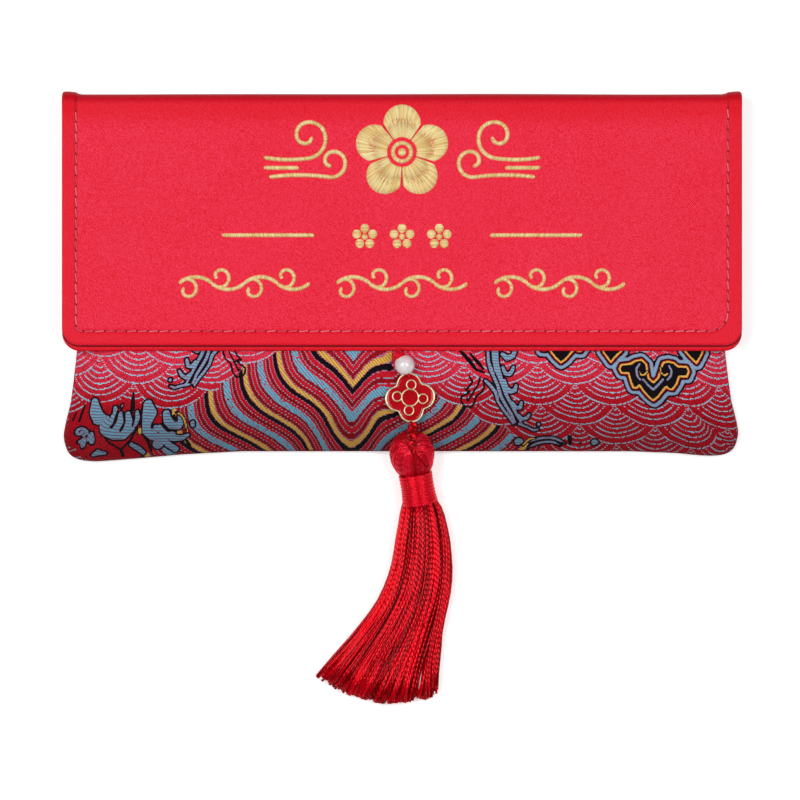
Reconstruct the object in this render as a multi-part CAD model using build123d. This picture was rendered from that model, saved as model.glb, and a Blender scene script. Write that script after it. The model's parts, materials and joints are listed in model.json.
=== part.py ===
from build123d import *

import math
import os

# Gift-money envelope lying on its back: a padded brocade pouch, a satin flap that opens on two
# sewn folds, and a pendant of cord, bead, enamelled charm and tassel. Millimetres, +Z up.
# X runs across the envelope, Y from the pouch's bottom edge to the fold, Z out of its front.
# The origin is the middle of the flat back.

# Pouch
envelope_height = 100.0
pouch_width = 188.0
corner_drop = 1.8
side_draw_in = 3.2
corner_radius = 6.0
pouch_thickness = 7.4
seam_height = 2.6
front_shoulder = 16.0
back_shoulder = 5.0
brocade_thickness = 0.5
padding_thickness = 0.6
pouch_lining_thickness = 0.3
mouth_drop = 8.0
shoulder_bands = 3
corner_growth_share = 0.5

# Flap and spine
flap_width = 190.0
flap_length = 72.0
flap_lift = 1.1
flap_lining_thickness = 0.4
board_thickness = 0.8
satin_thickness = 0.5
lip_reach = 1.5
flap_corner_radius = 5.0
hem_width = 4.0
board_setback = 3.0
rolled_edge_radius = 0.4
spine_thickness = 1.2
fold_gap = 0.3

# Hidden magnets
magnet_diameter = 8.0
magnet_clearance = 0.1
magnet_from_hem = 0.6

# Gold embroidery
thread_height = 0.5
stroke_width = 1.1
fine_stroke_width = 0.9
blossom_from_fold = 16.5
blossom_petal_radius = 5.2
blossom_petal_reach = 8.2
petal_gap = 0.8
blossom_heart_radius = 4.0
blossom_ring_radius = 3.1
blossom_eye_radius = 2.0
blossom_dot_radius = 1.1
cloud_reach = 38.5
cloud_curl_radius = 5.4
cloud_tail_drop = 1.5
cloud_small_reach = 37.0
cloud_small_curl_radius = 3.9
cloud_small_drop = 7.0
cloud_line_drop = 4.4
cloud_line_length = 9.6
rule_from_fold = 39.7
rule_length = 25.6
rule_inner_end = 24.6
sprig_from_fold = 40.1
sprig_pitch = 10.4
sprig_petal_radius = 1.25
sprig_petal_reach = 2.35
sprig_dot_radius = 0.8
vine_from_fold = 53.1
vine_pitch = 44.0
vine_wave_radius = 6.8
vine_curl_radius = 2.5

# Pendant cord and bead
cord_diameter = 0.8
hem_exit = 0.3
pivot_gap = 0.4
bead_diameter = 5.6
bead_bore = 1.0
bead_from_flap = 5.4
bead_side_shift = 0.75
bead_rest_gap = 0.7
knot_width = 2.0
knot_length = 1.2
knot_gap = 0.1
knot_round_share = 0.4
stop_knot_width = 1.9
stop_knot_length = 0.7
knot_clearance = 0.2

# Charm
charm_lobe_radius = 3.3
charm_notch_radius = 1.4
charm_thickness = 1.6
charm_rim_width = 0.5
charm_cell_depth = 0.4
charm_rest_gap = 0.8
charm_turn = 5.0
charm_from_bead = 3.3
charm_side_shift = 1.25
eyelet_hole = 1.3
eyelet_wall = 0.35
eyelet_thickness = 0.6
eyelet_out = 0.35
ornament_ring_radius = 2.2
ornament_petal_radius = 1.5
ornament_line = 0.4

# Tassel
tassel_cord_rise = 1.0
tassel_gap = 1.55
head_length = 13.2
neck_length = 7.0
head_width = 12.4
head_depth = 7.8
neck_diameter = 9.4
tassel_drop = 5.4
tassel_lean = 2.6
head_top_rise = 2.0
wrap_thread = 0.42
wrap_pitch = 0.86
wrap_margin = 0.45
skirt_length = 56.0
skirt_lobes = 14
lobe_points = 4
lobe_bulge_share = 0.06
table_gap = 0.3

overrun = 5.0

# Levels and edges that follow from the sizes above
wall_thickness = brocade_thickness + padding_thickness + pouch_lining_thickness
y_fold = envelope_height / 2
y_bottom = -envelope_height / 2
y_mouth = y_fold - mouth_drop
y_lip = y_fold - flap_length
y_flap_edge = y_lip + lip_reach
z_lining = pouch_thickness + flap_lift
z_board = z_lining + flap_lining_thickness
z_satin = z_board + board_thickness
z_flap_top = z_satin + satin_thickness
z_flap_fold = (z_lining + z_flap_top) / 2
flap_fold_radius = (z_flap_top - z_lining) / 2
z_back_fold = wall_thickness / 2
back_fold_radius = spine_thickness / 2
cord_radius = cord_diameter / 2
bead_radius = bead_diameter / 2


def box_between(low, high):
    """An upright box from its low corner to its high corner."""
    size = [b - a for a, b in zip(low, high)]
    centre = [(a + b) / 2 for a, b in zip(low, high)]
    return Pos(*centre) * Box(*size)


def pouch_outline(inset):
    """The pouch's outline, drawn in between its corners, moved inwards by inset."""
    half = pouch_width / 2 - inset
    low = y_bottom - corner_drop + inset
    middle = (y_fold + low) / 2
    waist = half - side_draw_in
    outline = make_face([
        ThreePointArc((half, y_fold), (waist, middle), (half, low)),
        ThreePointArc((half, low), (0, y_bottom + inset), (-half, low)),
        ThreePointArc((-half, low), (-waist, middle), (-half, y_fold)),
        Line((-half, y_fold), (half, y_fold)),
    ])
    corners = outline.vertices().sort_by(Axis.Y)[:2]
    return fillet(corners, corner_radius + corner_growth_share * inset)


def pouch_half(skin, shoulder, dome, side):
    """One half of the pillow, from its seam up (side 1) or down (side -1), skin inside its face."""
    sections = []
    for band in range(shoulder_bands + 1):
        angle = math.pi / 2 * band / shoulder_bands
        inset = shoulder - (shoulder - skin) * math.cos(angle)
        height = (dome - skin) * math.sin(angle)
        sections.append(Pos(0, 0, seam_height + side * height) * pouch_outline(inset))
    return loft(sections, ruled=True)


def front_half(skin):
    return pouch_half(skin, front_shoulder, pouch_thickness - seam_height, 1)


def back_half(skin):
    return pouch_half(skin, back_shoulder, seam_height, -1)


def pouch_layer(half, outer, inner, y_edge):
    """A layer of the pouch between two skins, cut off at y_edge."""
    reach = pouch_width / 2 + overrun
    beyond = box_between(
        (-reach, y_edge, -overrun),
        (reach, y_fold + overrun, pouch_thickness + overrun),
    )
    return half(outer) - half(inner) - beyond


def magnet(z_low, height, clearance=0.0):
    y = y_flap_edge + hem_width + board_setback / 2 + magnet_from_hem + magnet_diameter / 2
    disc = Cylinder(magnet_diameter / 2 + clearance, height)
    return Pos(0, y, z_low + height / 2) * disc


def make_pouch():
    """The three layers of each half; the front one holds a magnet under its brocade."""
    y_back = y_fold - back_fold_radius - fold_gap
    skins = [
        ("panel", 0, brocade_thickness),
        ("padding", brocade_thickness, brocade_thickness + padding_thickness),
        ("lining", brocade_thickness + padding_thickness, wall_thickness),
    ]
    nodes = {}
    for name, outer, inner in skins:
        nodes["back_" + name] = pouch_layer(back_half, outer, inner, y_back)
        nodes["front_" + name] = pouch_layer(front_half, outer, inner, y_mouth)
    z_magnet = pouch_thickness - brocade_thickness - padding_thickness
    nodes["front_padding"] -= magnet(z_magnet, padding_thickness, magnet_clearance)
    nodes["pouch_magnet"] = magnet(z_magnet, padding_thickness)
    return nodes


def across(profile):
    """A profile in Y and Z carried across the whole flap width."""
    return extrude(Plane.YZ * profile, amount=flap_width / 2, both=True)


def make_spine():
    """The strip between the two folds, rounded about the back fold, in a satin and a lining half."""
    top = z_flap_fold - flap_fold_radius - fold_gap
    height = top - z_back_fold
    strip = Pos(y_fold, z_back_fold + height / 2) * Rectangle(spine_thickness, height)
    strip += Pos(y_fold, z_back_fold) * Circle(back_fold_radius)
    whole = across(strip)
    inner = box_between((-flap_width, 0, -overrun), (flap_width, y_fold, z_flap_top))
    return {"spine_face": whole - inner, "spine_lining": whole & inner}


def flap_plan(y_edge, z_low, z_high, roll=0.0):
    """A layer of the flap with round lower corners, a nose round the flap's fold and, where roll
    is given, a rolled upper edge."""
    y_top = y_fold + flap_fold_radius
    plan = Pos(0, (y_edge + y_top) / 2) * Rectangle(flap_width, y_top - y_edge)
    plan = fillet(plan.vertices().sort_by(Axis.Y)[:2], flap_corner_radius)
    slab = extrude(Pos(0, 0, z_low) * plan, amount=z_high - z_low)
    if roll:
        rim = slab.faces().sort_by(Axis.Z)[-1].edges().sort_by(Axis.Y)[:-1]
        slab = fillet(rim, roll)
    nose = Pos(y_fold, z_flap_fold) * Circle(flap_fold_radius)
    nose += Pos((y_fold + y_lip) / 2, z_flap_fold) * Rectangle(flap_length, 2 * flap_fold_radius)
    return slab & across(nose)


def board_solid():
    """The stiff board inside the flap, clear of the hem and of the fold."""
    half = flap_width / 2 - hem_width - board_setback / 2
    low = y_flap_edge + hem_width + board_setback / 2
    high = y_fold - board_setback
    return box_between((-half, low, z_board), (half, high, z_satin))


def bead_centre():
    y = y_flap_edge - bead_from_flap
    return Vector(bead_side_shift, y, pouch_thickness + bead_rest_gap + bead_radius)


def charm_plane():
    """The charm's own plane: origin at its upper eyelet, lying along -Y and turned a little."""
    eye = bead_centre() + Vector(charm_side_shift, -charm_from_bead, 0)
    eye.Z = pouch_thickness + charm_rest_gap + charm_thickness / 2
    return Plane(origin=eye, z_dir=(0, 0, 1)) * Rot(0, 0, charm_turn)


def cord_bend():
    """Where the pendant cord turns down into the charm's upper eyelet."""
    eye = charm_plane().position
    return Vector(eye.X, eye.Y, bead_centre().Z)


def bore_direction():
    """The line of the bead's bore, towards the charm."""
    return (cord_bend() - bead_centre()).normalized()


def pivot_point():
    """The bend above the flap's edge about which the whole pendant lifts."""
    return bead_centre() - bore_direction() * (bead_radius + knot_gap + knot_length + pivot_gap)


def anchor_points():
    """The cord sewn into the hem: its sewn end, its way out of the hem and its end at the pivot."""
    pivot = pivot_point()
    z = z_board + cord_radius
    out = Vector(pivot.X, y_flap_edge - hem_exit, z)
    rise = (pivot - out).normalized()
    sewn = Vector(pivot.X, y_flap_edge + hem_width, z)
    return sewn, out, pivot - rise * (cord_diameter + knot_clearance)


def rod(start, end, radius):
    """A round rod from start to end."""
    start, end = Vector(*start), Vector(*end)
    foot = Plane(origin=start, z_dir=end - start)
    return extrude(foot * Circle(radius), amount=(end - start).length)


def make_flap():
    """The satin turned over a board, its lining with the lip, and the cord sewn into the hem."""
    satin = flap_plan(y_flap_edge, z_board, z_flap_top, rolled_edge_radius)
    sewn, out, end = anchor_points()
    channel = box_between((sewn.X - cord_radius, out.Y, z_board),
                          (sewn.X + cord_radius, sewn.Y, z_satin))
    anchor = rod(sewn, out, cord_radius) + Pos(out) * Sphere(cord_radius)
    anchor += rod(out, end, cord_radius)
    board = board_solid() - magnet(z_board, board_thickness, magnet_clearance)
    return {
        "flap_face": satin - board_solid() - channel,
        "flap_board": board,
        "flap_lining": flap_plan(y_lip, z_lining, z_board),
        "flap_magnet": magnet(z_board, board_thickness),
        "cord_anchor": anchor,
    }


def stroke(start, heading, size, bend_shares):
    """A chain of tangent arcs: each bend is a radius, as a share of size, and a turn in degrees."""
    arcs = []
    for radius_share, turn in bend_shares:
        direction = (math.cos(math.radians(heading)), math.sin(math.radians(heading)))
        arc = JernArc(start, direction, radius_share * size, turn)
        arcs.append(arc)
        start = arc @ 1
        heading += turn
    return arcs


def embroider(sketch):
    return extrude(Pos(0, 0, z_flap_top) * sketch, amount=thread_height)


def ring_of(count, reach, radius):
    """Round petals set about the origin, the first one upwards."""
    petals = [Rot(0, 0, 360 / count * k) * Pos(0, reach) * Circle(radius) for k in range(count)]
    return Sketch() + petals


def blossom():
    """Five satin-stitched petals about a ringed heart."""
    petals = ring_of(5, blossom_petal_reach, blossom_petal_radius)
    reach = blossom_petal_reach + blossom_petal_radius
    for k in range(5):
        petals -= Rot(0, 0, 72 * k) * Pos(0, -reach / 2) * Rectangle(petal_gap, reach)
    petals -= Circle(blossom_heart_radius)
    petals += Circle(blossom_ring_radius) - Circle(blossom_eye_radius)
    petals += Circle(blossom_dot_radius)
    return Pos(0, y_fold - blossom_from_fold) * petals


def clouds():
    """A pair of scrolled clouds, each a large and a small curl with trailing tails."""
    y = y_fold - blossom_from_fold
    large_bend_shares = [(7.4, -18), (1, -100), (0.82, -90), (0.61, -90), (0.43, -90), (0.28, -80)]
    small_bend_shares = [(15.4, 16), (1, -105), (0.82, -90), (0.61, -90), (0.38, -90)]
    large = stroke((cloud_reach, y - cloud_tail_drop), 190, cloud_curl_radius, large_bend_shares)
    small = stroke((cloud_small_reach, y - cloud_small_drop), 172, cloud_small_curl_radius,
                   small_bend_shares)
    line = Line((cloud_reach, y - cloud_line_drop),
                (cloud_reach - cloud_line_length, y - cloud_line_drop))
    right = trace(large, stroke_width) + trace(small, stroke_width) + trace(line, stroke_width)
    return right + mirror(right, about=Plane.YZ)


def rules():
    """Two plain bars, one each side of the sprigs."""
    bar = SlotOverall(rule_length, stroke_width)
    x = rule_inner_end + rule_length / 2
    return [Pos(side * x, y_fold - rule_from_fold) * bar for side in (-1, 1)]


def sprigs():
    """Three small blossoms between the rules."""
    sprig = ring_of(5, sprig_petal_reach, sprig_petal_radius) + Circle(sprig_dot_radius)
    return [Pos(k * sprig_pitch, y_fold - sprig_from_fold) * sprig for k in (-1, 0, 1)]


def vines():
    """Three running vines, each of four waves with a curl in every wave."""
    wave_bend_shares = [(1, -84)]
    curl_bend_shares = [(1, -170), (0.76, -90), (0.48, -100)]
    span = 2 * vine_wave_radius * math.sin(math.radians(42))
    whole = Sketch()
    for centre in (-vine_pitch, 0, vine_pitch):
        start = (centre - 2 * span, y_fold - vine_from_fold)
        for side in (1, -1, 1, -1):
            wave = stroke(start, 42 * side, vine_wave_radius, turned(wave_bend_shares, side))
            root = wave[0] @ 0.125
            curl = stroke(root, 32 * side, vine_curl_radius, turned(curl_bend_shares, side))
            whole += trace(wave, stroke_width)
            whole += trace(curl, fine_stroke_width)
            start = wave[0] @ 1
    return whole


def turned(bend_shares, side):
    """The same bends, to the other side where side is -1."""
    return [(radius_share, turn * side) for radius_share, turn in bend_shares]


def make_embroidery():
    return {
        "gold_blossom": embroider(blossom()),
        "gold_clouds": embroider(clouds()),
        "gold_rules": Compound([embroider(bar) for bar in rules()]),
        "gold_sprigs": Compound([embroider(sprig) for sprig in sprigs()]),
        "gold_vines": embroider(vines()),
    }


def lower_eyelet():
    """The centre of the charm's lower eyelet."""
    down = -2 * (2 * charm_lobe_radius + eyelet_out)
    return (charm_plane() * Pos(0, down, 0)).position


def make_hanger():
    """The cord from the pivot through the bead to the charm's upper eyelet, with its knots."""
    pivot, bend, centre = pivot_point(), cord_bend(), bead_centre()
    along = bore_direction()
    low = charm_plane().position.Z - eyelet_thickness / 2 - knot_clearance
    foot = Vector(bend.X, bend.Y, low)
    cord = rod(pivot, bend, cord_radius) + rod(bend, foot, cord_radius)
    for joint in (pivot, bend):
        cord += Pos(joint) * Sphere(cord_radius)
    seat = Plane(origin=centre - along * (bead_radius + knot_gap), z_dir=-along)
    knot = extrude(seat * Circle(knot_width / 2), amount=knot_length)
    cord += fillet(knot.edges(), knot_length * knot_round_share)
    cord += extrude(Plane(origin=foot, z_dir=(0, 0, -1)) * Circle(stop_knot_width / 2),
                    amount=stop_knot_length)
    bead = Pos(centre) * Sphere(bead_radius)
    bead -= rod(centre - along * bead_diameter, centre + along * bead_diameter, bead_bore / 2)
    return {"hanger_cord": cord, "pearl_bead": bead}


def quatrefoil(inset=0.0):
    """Four round lobes with rounded notches, all moved inwards by inset."""
    reach = charm_lobe_radius
    shape = ring_of(4, reach, charm_lobe_radius - inset) + Rot(0, 0, 45) * Rectangle(reach, reach)
    notches = [v for v in shape.vertices() if Vector(v).length > reach]
    return fillet(notches, charm_notch_radius)


def eyelet():
    """A flat cast loop."""
    ring = Circle(eyelet_hole / 2 + eyelet_wall) - Circle(eyelet_hole / 2)
    return extrude(Pos(0, 0, -eyelet_thickness / 2) * ring, amount=eyelet_thickness)


def make_charm():
    """A cast four-lobed cell, its enamel and the wire flower in it. Each of its two loops has a
    round seat cut behind it for the knot of the cord that passes through."""
    tip = 2 * charm_lobe_radius
    middle = Pos(0, -tip - eyelet_out, 0)
    floor = charm_thickness / 2 - charm_cell_depth
    frame = extrude(Pos(0, 0, -charm_thickness / 2) * quatrefoil(), amount=charm_thickness)
    cell = extrude(Pos(0, 0, floor) * quatrefoil(charm_rim_width), amount=charm_cell_depth)
    hole = Cylinder(eyelet_hole / 2, charm_thickness + overrun)
    frame = middle * (frame - cell)
    seat = Cylinder(stop_knot_width / 2 + knot_clearance, charm_thickness)
    seat = Pos(0, 0, -(charm_thickness + eyelet_thickness) / 2) * seat
    for loop in (Pos(0, 0, 0), Pos(0, -2 * (tip + eyelet_out), 0)):
        frame = frame - loop * hole - loop * seat + loop * eyelet()
    wire = Circle(ornament_ring_radius + ornament_line) - Circle(ornament_ring_radius)
    for k in range(4):
        spot = Rot(0, 0, 90 * k) * Pos(0, ornament_ring_radius + ornament_petal_radius)
        wire += spot * (Circle(ornament_petal_radius) - Circle(ornament_petal_radius - ornament_line))
    flower = extrude(Pos(0, 0, floor) * wire, amount=charm_cell_depth)
    plane = charm_plane()
    return {
        "charm_frame": plane * frame,
        "charm_enamel": plane * middle * (cell - flower),
        "charm_ornament": plane * middle * (flower & cell),
    }


def tassel_top():
    """Where the cord enters the tassel's head."""
    eye = lower_eyelet()
    return Vector(eye.X, eye.Y - tassel_gap, eye.Z + head_top_rise)


def tassel_direction():
    """The line of the head and neck, leaning to the side and down to the table."""
    run = head_length + neck_length
    return Vector(tassel_lean, -math.sqrt(run ** 2 - tassel_lean ** 2 - tassel_drop ** 2),
                  -tassel_drop).normalized()


def cross_plane(origin, direction):
    """A plane square to a direction, its X axis level."""
    side = Vector(0, 0, 1).cross(direction)
    return Plane(origin=origin, x_dir=side, z_dir=direction)


def fluted(width, depth):
    """An oval with round lobes, one for each gathered hank of yarn."""
    count = skirt_lobes * lobe_points
    points = []
    for step in range(count):
        turn = 2 * math.pi * step / count
        swell = 1 - lobe_bulge_share * (1 - abs(math.sin(skirt_lobes * turn / 2)))
        points.append((width / 2 * swell * math.cos(turn), depth / 2 * swell * math.sin(turn)))
    return make_face(Polyline(*points, close=True))


def make_head():
    """The bulging head of folded yarn, its neck core included."""
    top, along = tassel_top(), tassel_direction()
    head_shares = [(0, 0.22), (0.1, 0.6), (0.3, 0.94), (0.55, 1), (0.85, 0.86)]
    sections = []
    for place_share, size_share in head_shares:
        plane = cross_plane(top + along * (place_share * head_length), along)
        sections.append(plane * fluted(size_share * head_width, size_share * head_depth))
    neck_top = cross_plane(top + along * head_length, along)
    sections.append(neck_top * fluted(neck_diameter, neck_diameter))
    neck = extrude(neck_top * Circle(neck_diameter / 2), amount=neck_length)
    return loft(sections, ruled=True) + neck


def biarc(start, start_way, end, end_way):
    """Two arcs that leave start along start_way and reach end along end_way."""
    gap, ways = end - start, start_way + end_way
    spread = 2 * (1 - start_way.dot(end_way))
    reach = (math.sqrt(gap.dot(ways) ** 2 + spread * gap.dot(gap)) - gap.dot(ways)) / spread
    leave, arrive = start + start_way * reach, end - end_way * reach
    joint = (leave + arrive) / 2
    return [TangentArc(start, joint, tangent=start_way),
            TangentArc(joint, end, tangent=(arrive - leave).normalized())]


def make_winding():
    """The thread wound round the neck: one tube on biarcs of a quarter turn, with straight ends."""
    radius = neck_diameter / 2 + wrap_thread / 2
    turns = math.floor((neck_length - 2 * wrap_margin - wrap_thread) / wrap_pitch)

    def helix(quarter):
        turn = quarter * math.pi / 2
        height = wrap_margin + wrap_thread / 2 + wrap_pitch * quarter / 4
        return Vector(radius * math.cos(turn), radius * math.sin(turn), height)

    def way(quarter):
        turn = quarter * math.pi / 2
        climb = wrap_pitch / (2 * math.pi)
        return Vector(-radius * math.sin(turn), radius * math.cos(turn), climb).normalized()

    last = 4 * turns
    start = helix(0) - way(0) * wrap_thread
    edges = [Line(start, helix(0))]
    for quarter in range(last):
        edges += biarc(helix(quarter), way(quarter), helix(quarter + 1), way(quarter + 1))
    edges.append(Line(helix(last), helix(last) + way(last) * wrap_thread))
    path = Wire(edges)
    section = Plane(origin=start, z_dir=way(0)) * RegularPolygon(wrap_thread / 2, 6)
    tube = sweep(section, path=path)
    spots = [path @ (k / (16 * last)) for k in range(16 * last + 1)]
    far = 40
    least = min((spots[k] - spots[j]).length
                for k in range(len(spots)) for j in range(k + far, len(spots)))
    print("neck winding:", turns, "turns, least gap to itself", round(least - wrap_thread, 3), "mm")
    top, along = tassel_top(), tassel_direction()
    return cross_plane(top + along * head_length, along) * tube


def make_skirt():
    """The free yarn, spreading and curling to one side as it lies on the table."""
    start = tassel_top() + tassel_direction() * (head_length + neck_length)
    spine_shares = [(0, 0), (0.01, -0.24), (-0.025, -0.49), (-0.115, -0.73), (-0.215, -0.955)]
    width_shares = [0.178, 0.3, 0.36, 0.45, 0.6]
    depth_shares = [0.162, 0.132, 0.112, 0.094, 0.08]
    turns = [None, 2, 12, 20, 11]
    sections = []
    for (side_share, run_share), width_share, depth_share, turn in zip(
            spine_shares, width_shares, depth_shares, turns):
        if turn is None:
            plane = cross_plane(start, tassel_direction())
        else:
            point = Vector(start.X + side_share * skirt_length,
                           start.Y + run_share * skirt_length,
                           table_gap + depth_share * skirt_length / 2)
            way = Vector(-math.sin(math.radians(turn)), -math.cos(math.radians(turn)), 0)
            plane = cross_plane(point, way)
        sections.append(plane * fluted(width_share * skirt_length, depth_share * skirt_length))
    return loft(sections)


def make_tassel_cord():
    """The tassel's own cord: knotted under the charm's loop, up through it and over to the head."""
    eye, top = lower_eyelet(), tassel_top()
    low = eye.Z - eyelet_thickness / 2 - knot_clearance
    foot = Vector(eye.X, eye.Y, low)
    bend = Vector(eye.X, eye.Y, eye.Z + eyelet_thickness / 2 + tassel_cord_rise)
    cord = rod(foot, bend, cord_radius) + Pos(bend) * Sphere(cord_radius)
    cord += rod(bend, top, cord_radius)
    cord += extrude(Plane(origin=foot, z_dir=(0, 0, -1)) * Circle(stop_knot_width / 2),
                    amount=stop_knot_length)
    return cord


def make_tassel():
    head = make_head()
    cord = make_tassel_cord()
    return {
        "tassel_cord": cord - head,
        "tassel_head": head,
        "neck_winding": make_winding(),
        "tassel_skirt": make_skirt(),
    }


def main():
    nodes = {}
    for make in (make_pouch, make_spine, make_flap, make_embroidery, make_hanger, make_charm,
                 make_tassel):
        nodes.update(make())
    os.makedirs("parts", exist_ok=True)
    for name, shape in nodes.items():
        export_step(shape, f"parts/{name}.step")
    for name, place in (("pivot", pivot_point()), ("bead", bead_centre()),
                        ("upper eyelet", charm_plane().position), ("lower eyelet", lower_eyelet()),
                        ("tassel top", tassel_top())):
        print(name, [round(value, 3) for value in place])


main()
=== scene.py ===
# %% [markdown]
# A gift-money envelope lies on its back on a white table. Its pouch is padded brocade, its flap is satin
# over a board, and a bead, an enamelled charm and a tassel hang from the flap's edge. Sizes, places and
# hinges come from the frame, and every piece that shows is dressed here. All lengths are metres, so a size
# in millimetres is written times mm.

# %% Load the frame
import json
import math

import bpy
import numpy as np
from mathutils import Matrix, Vector


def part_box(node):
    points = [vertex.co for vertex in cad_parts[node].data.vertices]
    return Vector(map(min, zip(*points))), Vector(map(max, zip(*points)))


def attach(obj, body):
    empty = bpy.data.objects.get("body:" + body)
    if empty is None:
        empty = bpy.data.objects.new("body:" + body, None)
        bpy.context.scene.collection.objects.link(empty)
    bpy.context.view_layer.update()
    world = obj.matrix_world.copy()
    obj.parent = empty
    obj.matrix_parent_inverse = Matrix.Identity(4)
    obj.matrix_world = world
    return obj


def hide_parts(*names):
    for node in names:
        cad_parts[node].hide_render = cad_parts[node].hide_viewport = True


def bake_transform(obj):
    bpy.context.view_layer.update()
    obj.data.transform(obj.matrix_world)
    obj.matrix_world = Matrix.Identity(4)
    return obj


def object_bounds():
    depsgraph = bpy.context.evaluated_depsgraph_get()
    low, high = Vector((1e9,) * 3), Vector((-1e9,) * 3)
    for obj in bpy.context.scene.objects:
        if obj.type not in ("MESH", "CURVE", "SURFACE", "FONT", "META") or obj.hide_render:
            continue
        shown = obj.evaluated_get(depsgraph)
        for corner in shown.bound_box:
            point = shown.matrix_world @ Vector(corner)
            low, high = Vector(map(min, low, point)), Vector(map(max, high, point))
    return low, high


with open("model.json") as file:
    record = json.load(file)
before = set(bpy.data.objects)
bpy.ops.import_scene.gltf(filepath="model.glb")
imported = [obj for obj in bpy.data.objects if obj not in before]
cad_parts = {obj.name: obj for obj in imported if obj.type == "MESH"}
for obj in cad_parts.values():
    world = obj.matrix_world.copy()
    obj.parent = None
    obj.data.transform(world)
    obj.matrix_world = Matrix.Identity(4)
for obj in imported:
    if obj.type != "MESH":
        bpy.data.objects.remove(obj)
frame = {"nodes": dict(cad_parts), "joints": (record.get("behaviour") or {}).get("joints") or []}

mm = 0.001
cad_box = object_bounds()
joints = {joint["name"]: joint for joint in frame["joints"]}
draw = np.random.default_rng(7)
print("CAD box in mm:", [[round(value / mm, 1) for value in corner] for corner in cad_box])

# %% [markdown]
# The photograph looks straight down, so the camera hangs above the table and looks along -Z with +Y up. A
# long lens far away keeps the sides of the flap parallel. The width that it sees is set at the height of
# the flap's face.

# %% Camera
photo_width = 223.3 * mm
photo_centre = (-0.56 * mm, -35.7 * mm)
lens = 200.0
sensor = 36.0
flap_low, flap_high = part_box("flap_face")

bpy.ops.object.select_all(action="DESELECT")
camera_height = flap_high.z + photo_width * lens / sensor
bpy.ops.object.camera_add(location=(*photo_centre, camera_height), rotation=(0, 0, 0))
camera = bpy.context.object
camera.data.lens = lens
camera.data.sensor_width = sensor
bpy.context.scene.camera = camera
bpy.context.scene.view_settings.view_transform = "Standard"
print("camera height:", round(camera_height, 3), "m")

# %% [markdown]
# A finish is a sum of small masks: is this point on a stitch, a stripe, a thread? Written as a node graph
# that is hard to read, so one small class wraps a socket, and plain arithmetic on it adds the Math nodes.


# %% Sockets that understand arithmetic
class Wire:
    """One socket of a node tree. Arithmetic on it adds Math nodes."""

    def __init__(self, tree, socket):
        self.tree = tree
        self.socket = socket

    def node(self, kind, settings=None, inputs=None, output=0):
        """A new node of that kind: its settings are set first, then its sockets are filled or linked."""
        node = self.tree.nodes.new(kind)
        for name, value in (settings or {}).items():
            if name == "stops":
                set_stops(node.color_ramp, value)
            else:
                setattr(node, name, value)
        for key, value in (inputs or {}).items():
            if isinstance(value, Wire):
                self.tree.links.new(value.socket, node.inputs[key])
            else:
                node.inputs[key].default_value = value
        return Wire(self.tree, node.outputs[output])

    def math(self, operation, *others):
        """A Math node that starts from this value."""
        return self.node("ShaderNodeMath", {"operation": operation}, dict(enumerate((self, *others))))

    def __add__(self, other):
        return self.math("ADD", other)

    def __sub__(self, other):
        return self.math("SUBTRACT", other)

    def __rsub__(self, other):
        return self.node("ShaderNodeMath", {"operation": "SUBTRACT"}, {0: other, 1: self})

    def __mul__(self, other):
        return self.math("MULTIPLY", other)

    def __truediv__(self, other):
        return self.math("DIVIDE", other)

    def __mod__(self, other):
        return self.math("FLOORED_MODULO", other)

    def __gt__(self, other):
        return self.math("GREATER_THAN", other)

    def __lt__(self, other):
        return self.math("LESS_THAN", other)

    def __abs__(self):
        return self.math("ABSOLUTE")

    __radd__ = __add__
    __rmul__ = __mul__

    def fade(self, low, high):
        """0 at low, 1 at high, smooth between."""
        return self.node("ShaderNodeMapRange", {"interpolation_type": "SMOOTHSTEP"},
                         {"Value": self, "From Min": low, "From Max": high})

    def paint(self, first, second):
        """The first colour where this is 0 and the second where it is 1."""
        return self.node("ShaderNodeMix", {"data_type": "RGBA"}, {0: self, 6: first, 7: second}, output=2)

    def split(self):
        """The X, Y and Z of a vector."""
        node = self.tree.nodes.new("ShaderNodeSeparateXYZ")
        self.tree.links.new(self.socket, node.inputs[0])
        return [Wire(self.tree, socket) for socket in node.outputs]

    def noise(self, scale, detail=2.0):
        """Noise over this vector, about 0 to 1."""
        return self.node("ShaderNodeTexNoise", {}, {"Vector": self, "Scale": scale, "Detail": detail})


def set_stops(ramp, stops):
    """Fills a colour ramp with hard-edged stops of place and colour."""
    ramp.interpolation = "CONSTANT"
    while len(ramp.elements) > 1:
        ramp.elements.remove(ramp.elements[-1])
    ramp.elements[0].position = stops[0][0]
    ramp.elements[0].color = stops[0][1]
    for place, colour in stops[1:]:
        ramp.elements.new(place).color = colour


print("sockets take arithmetic")

# %% [markdown]
# Every material starts from a Principled shader. What is the same all over is set straight on its sockets,
# and what changes over the surface is fed to them. Colours are written as a screen shows them, from 0 to
# 255.


# %% Colours and finishes
def dye(red, green, blue):
    """A screen colour, 0 to 255, as the linear colour that the shader takes."""
    shares = [value / 255 for value in (red, green, blue)]
    return (*[s / 12.92 if s <= 0.04045 else ((s + 0.055) / 1.055) ** 2.4 for s in shares], 1.0)


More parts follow.
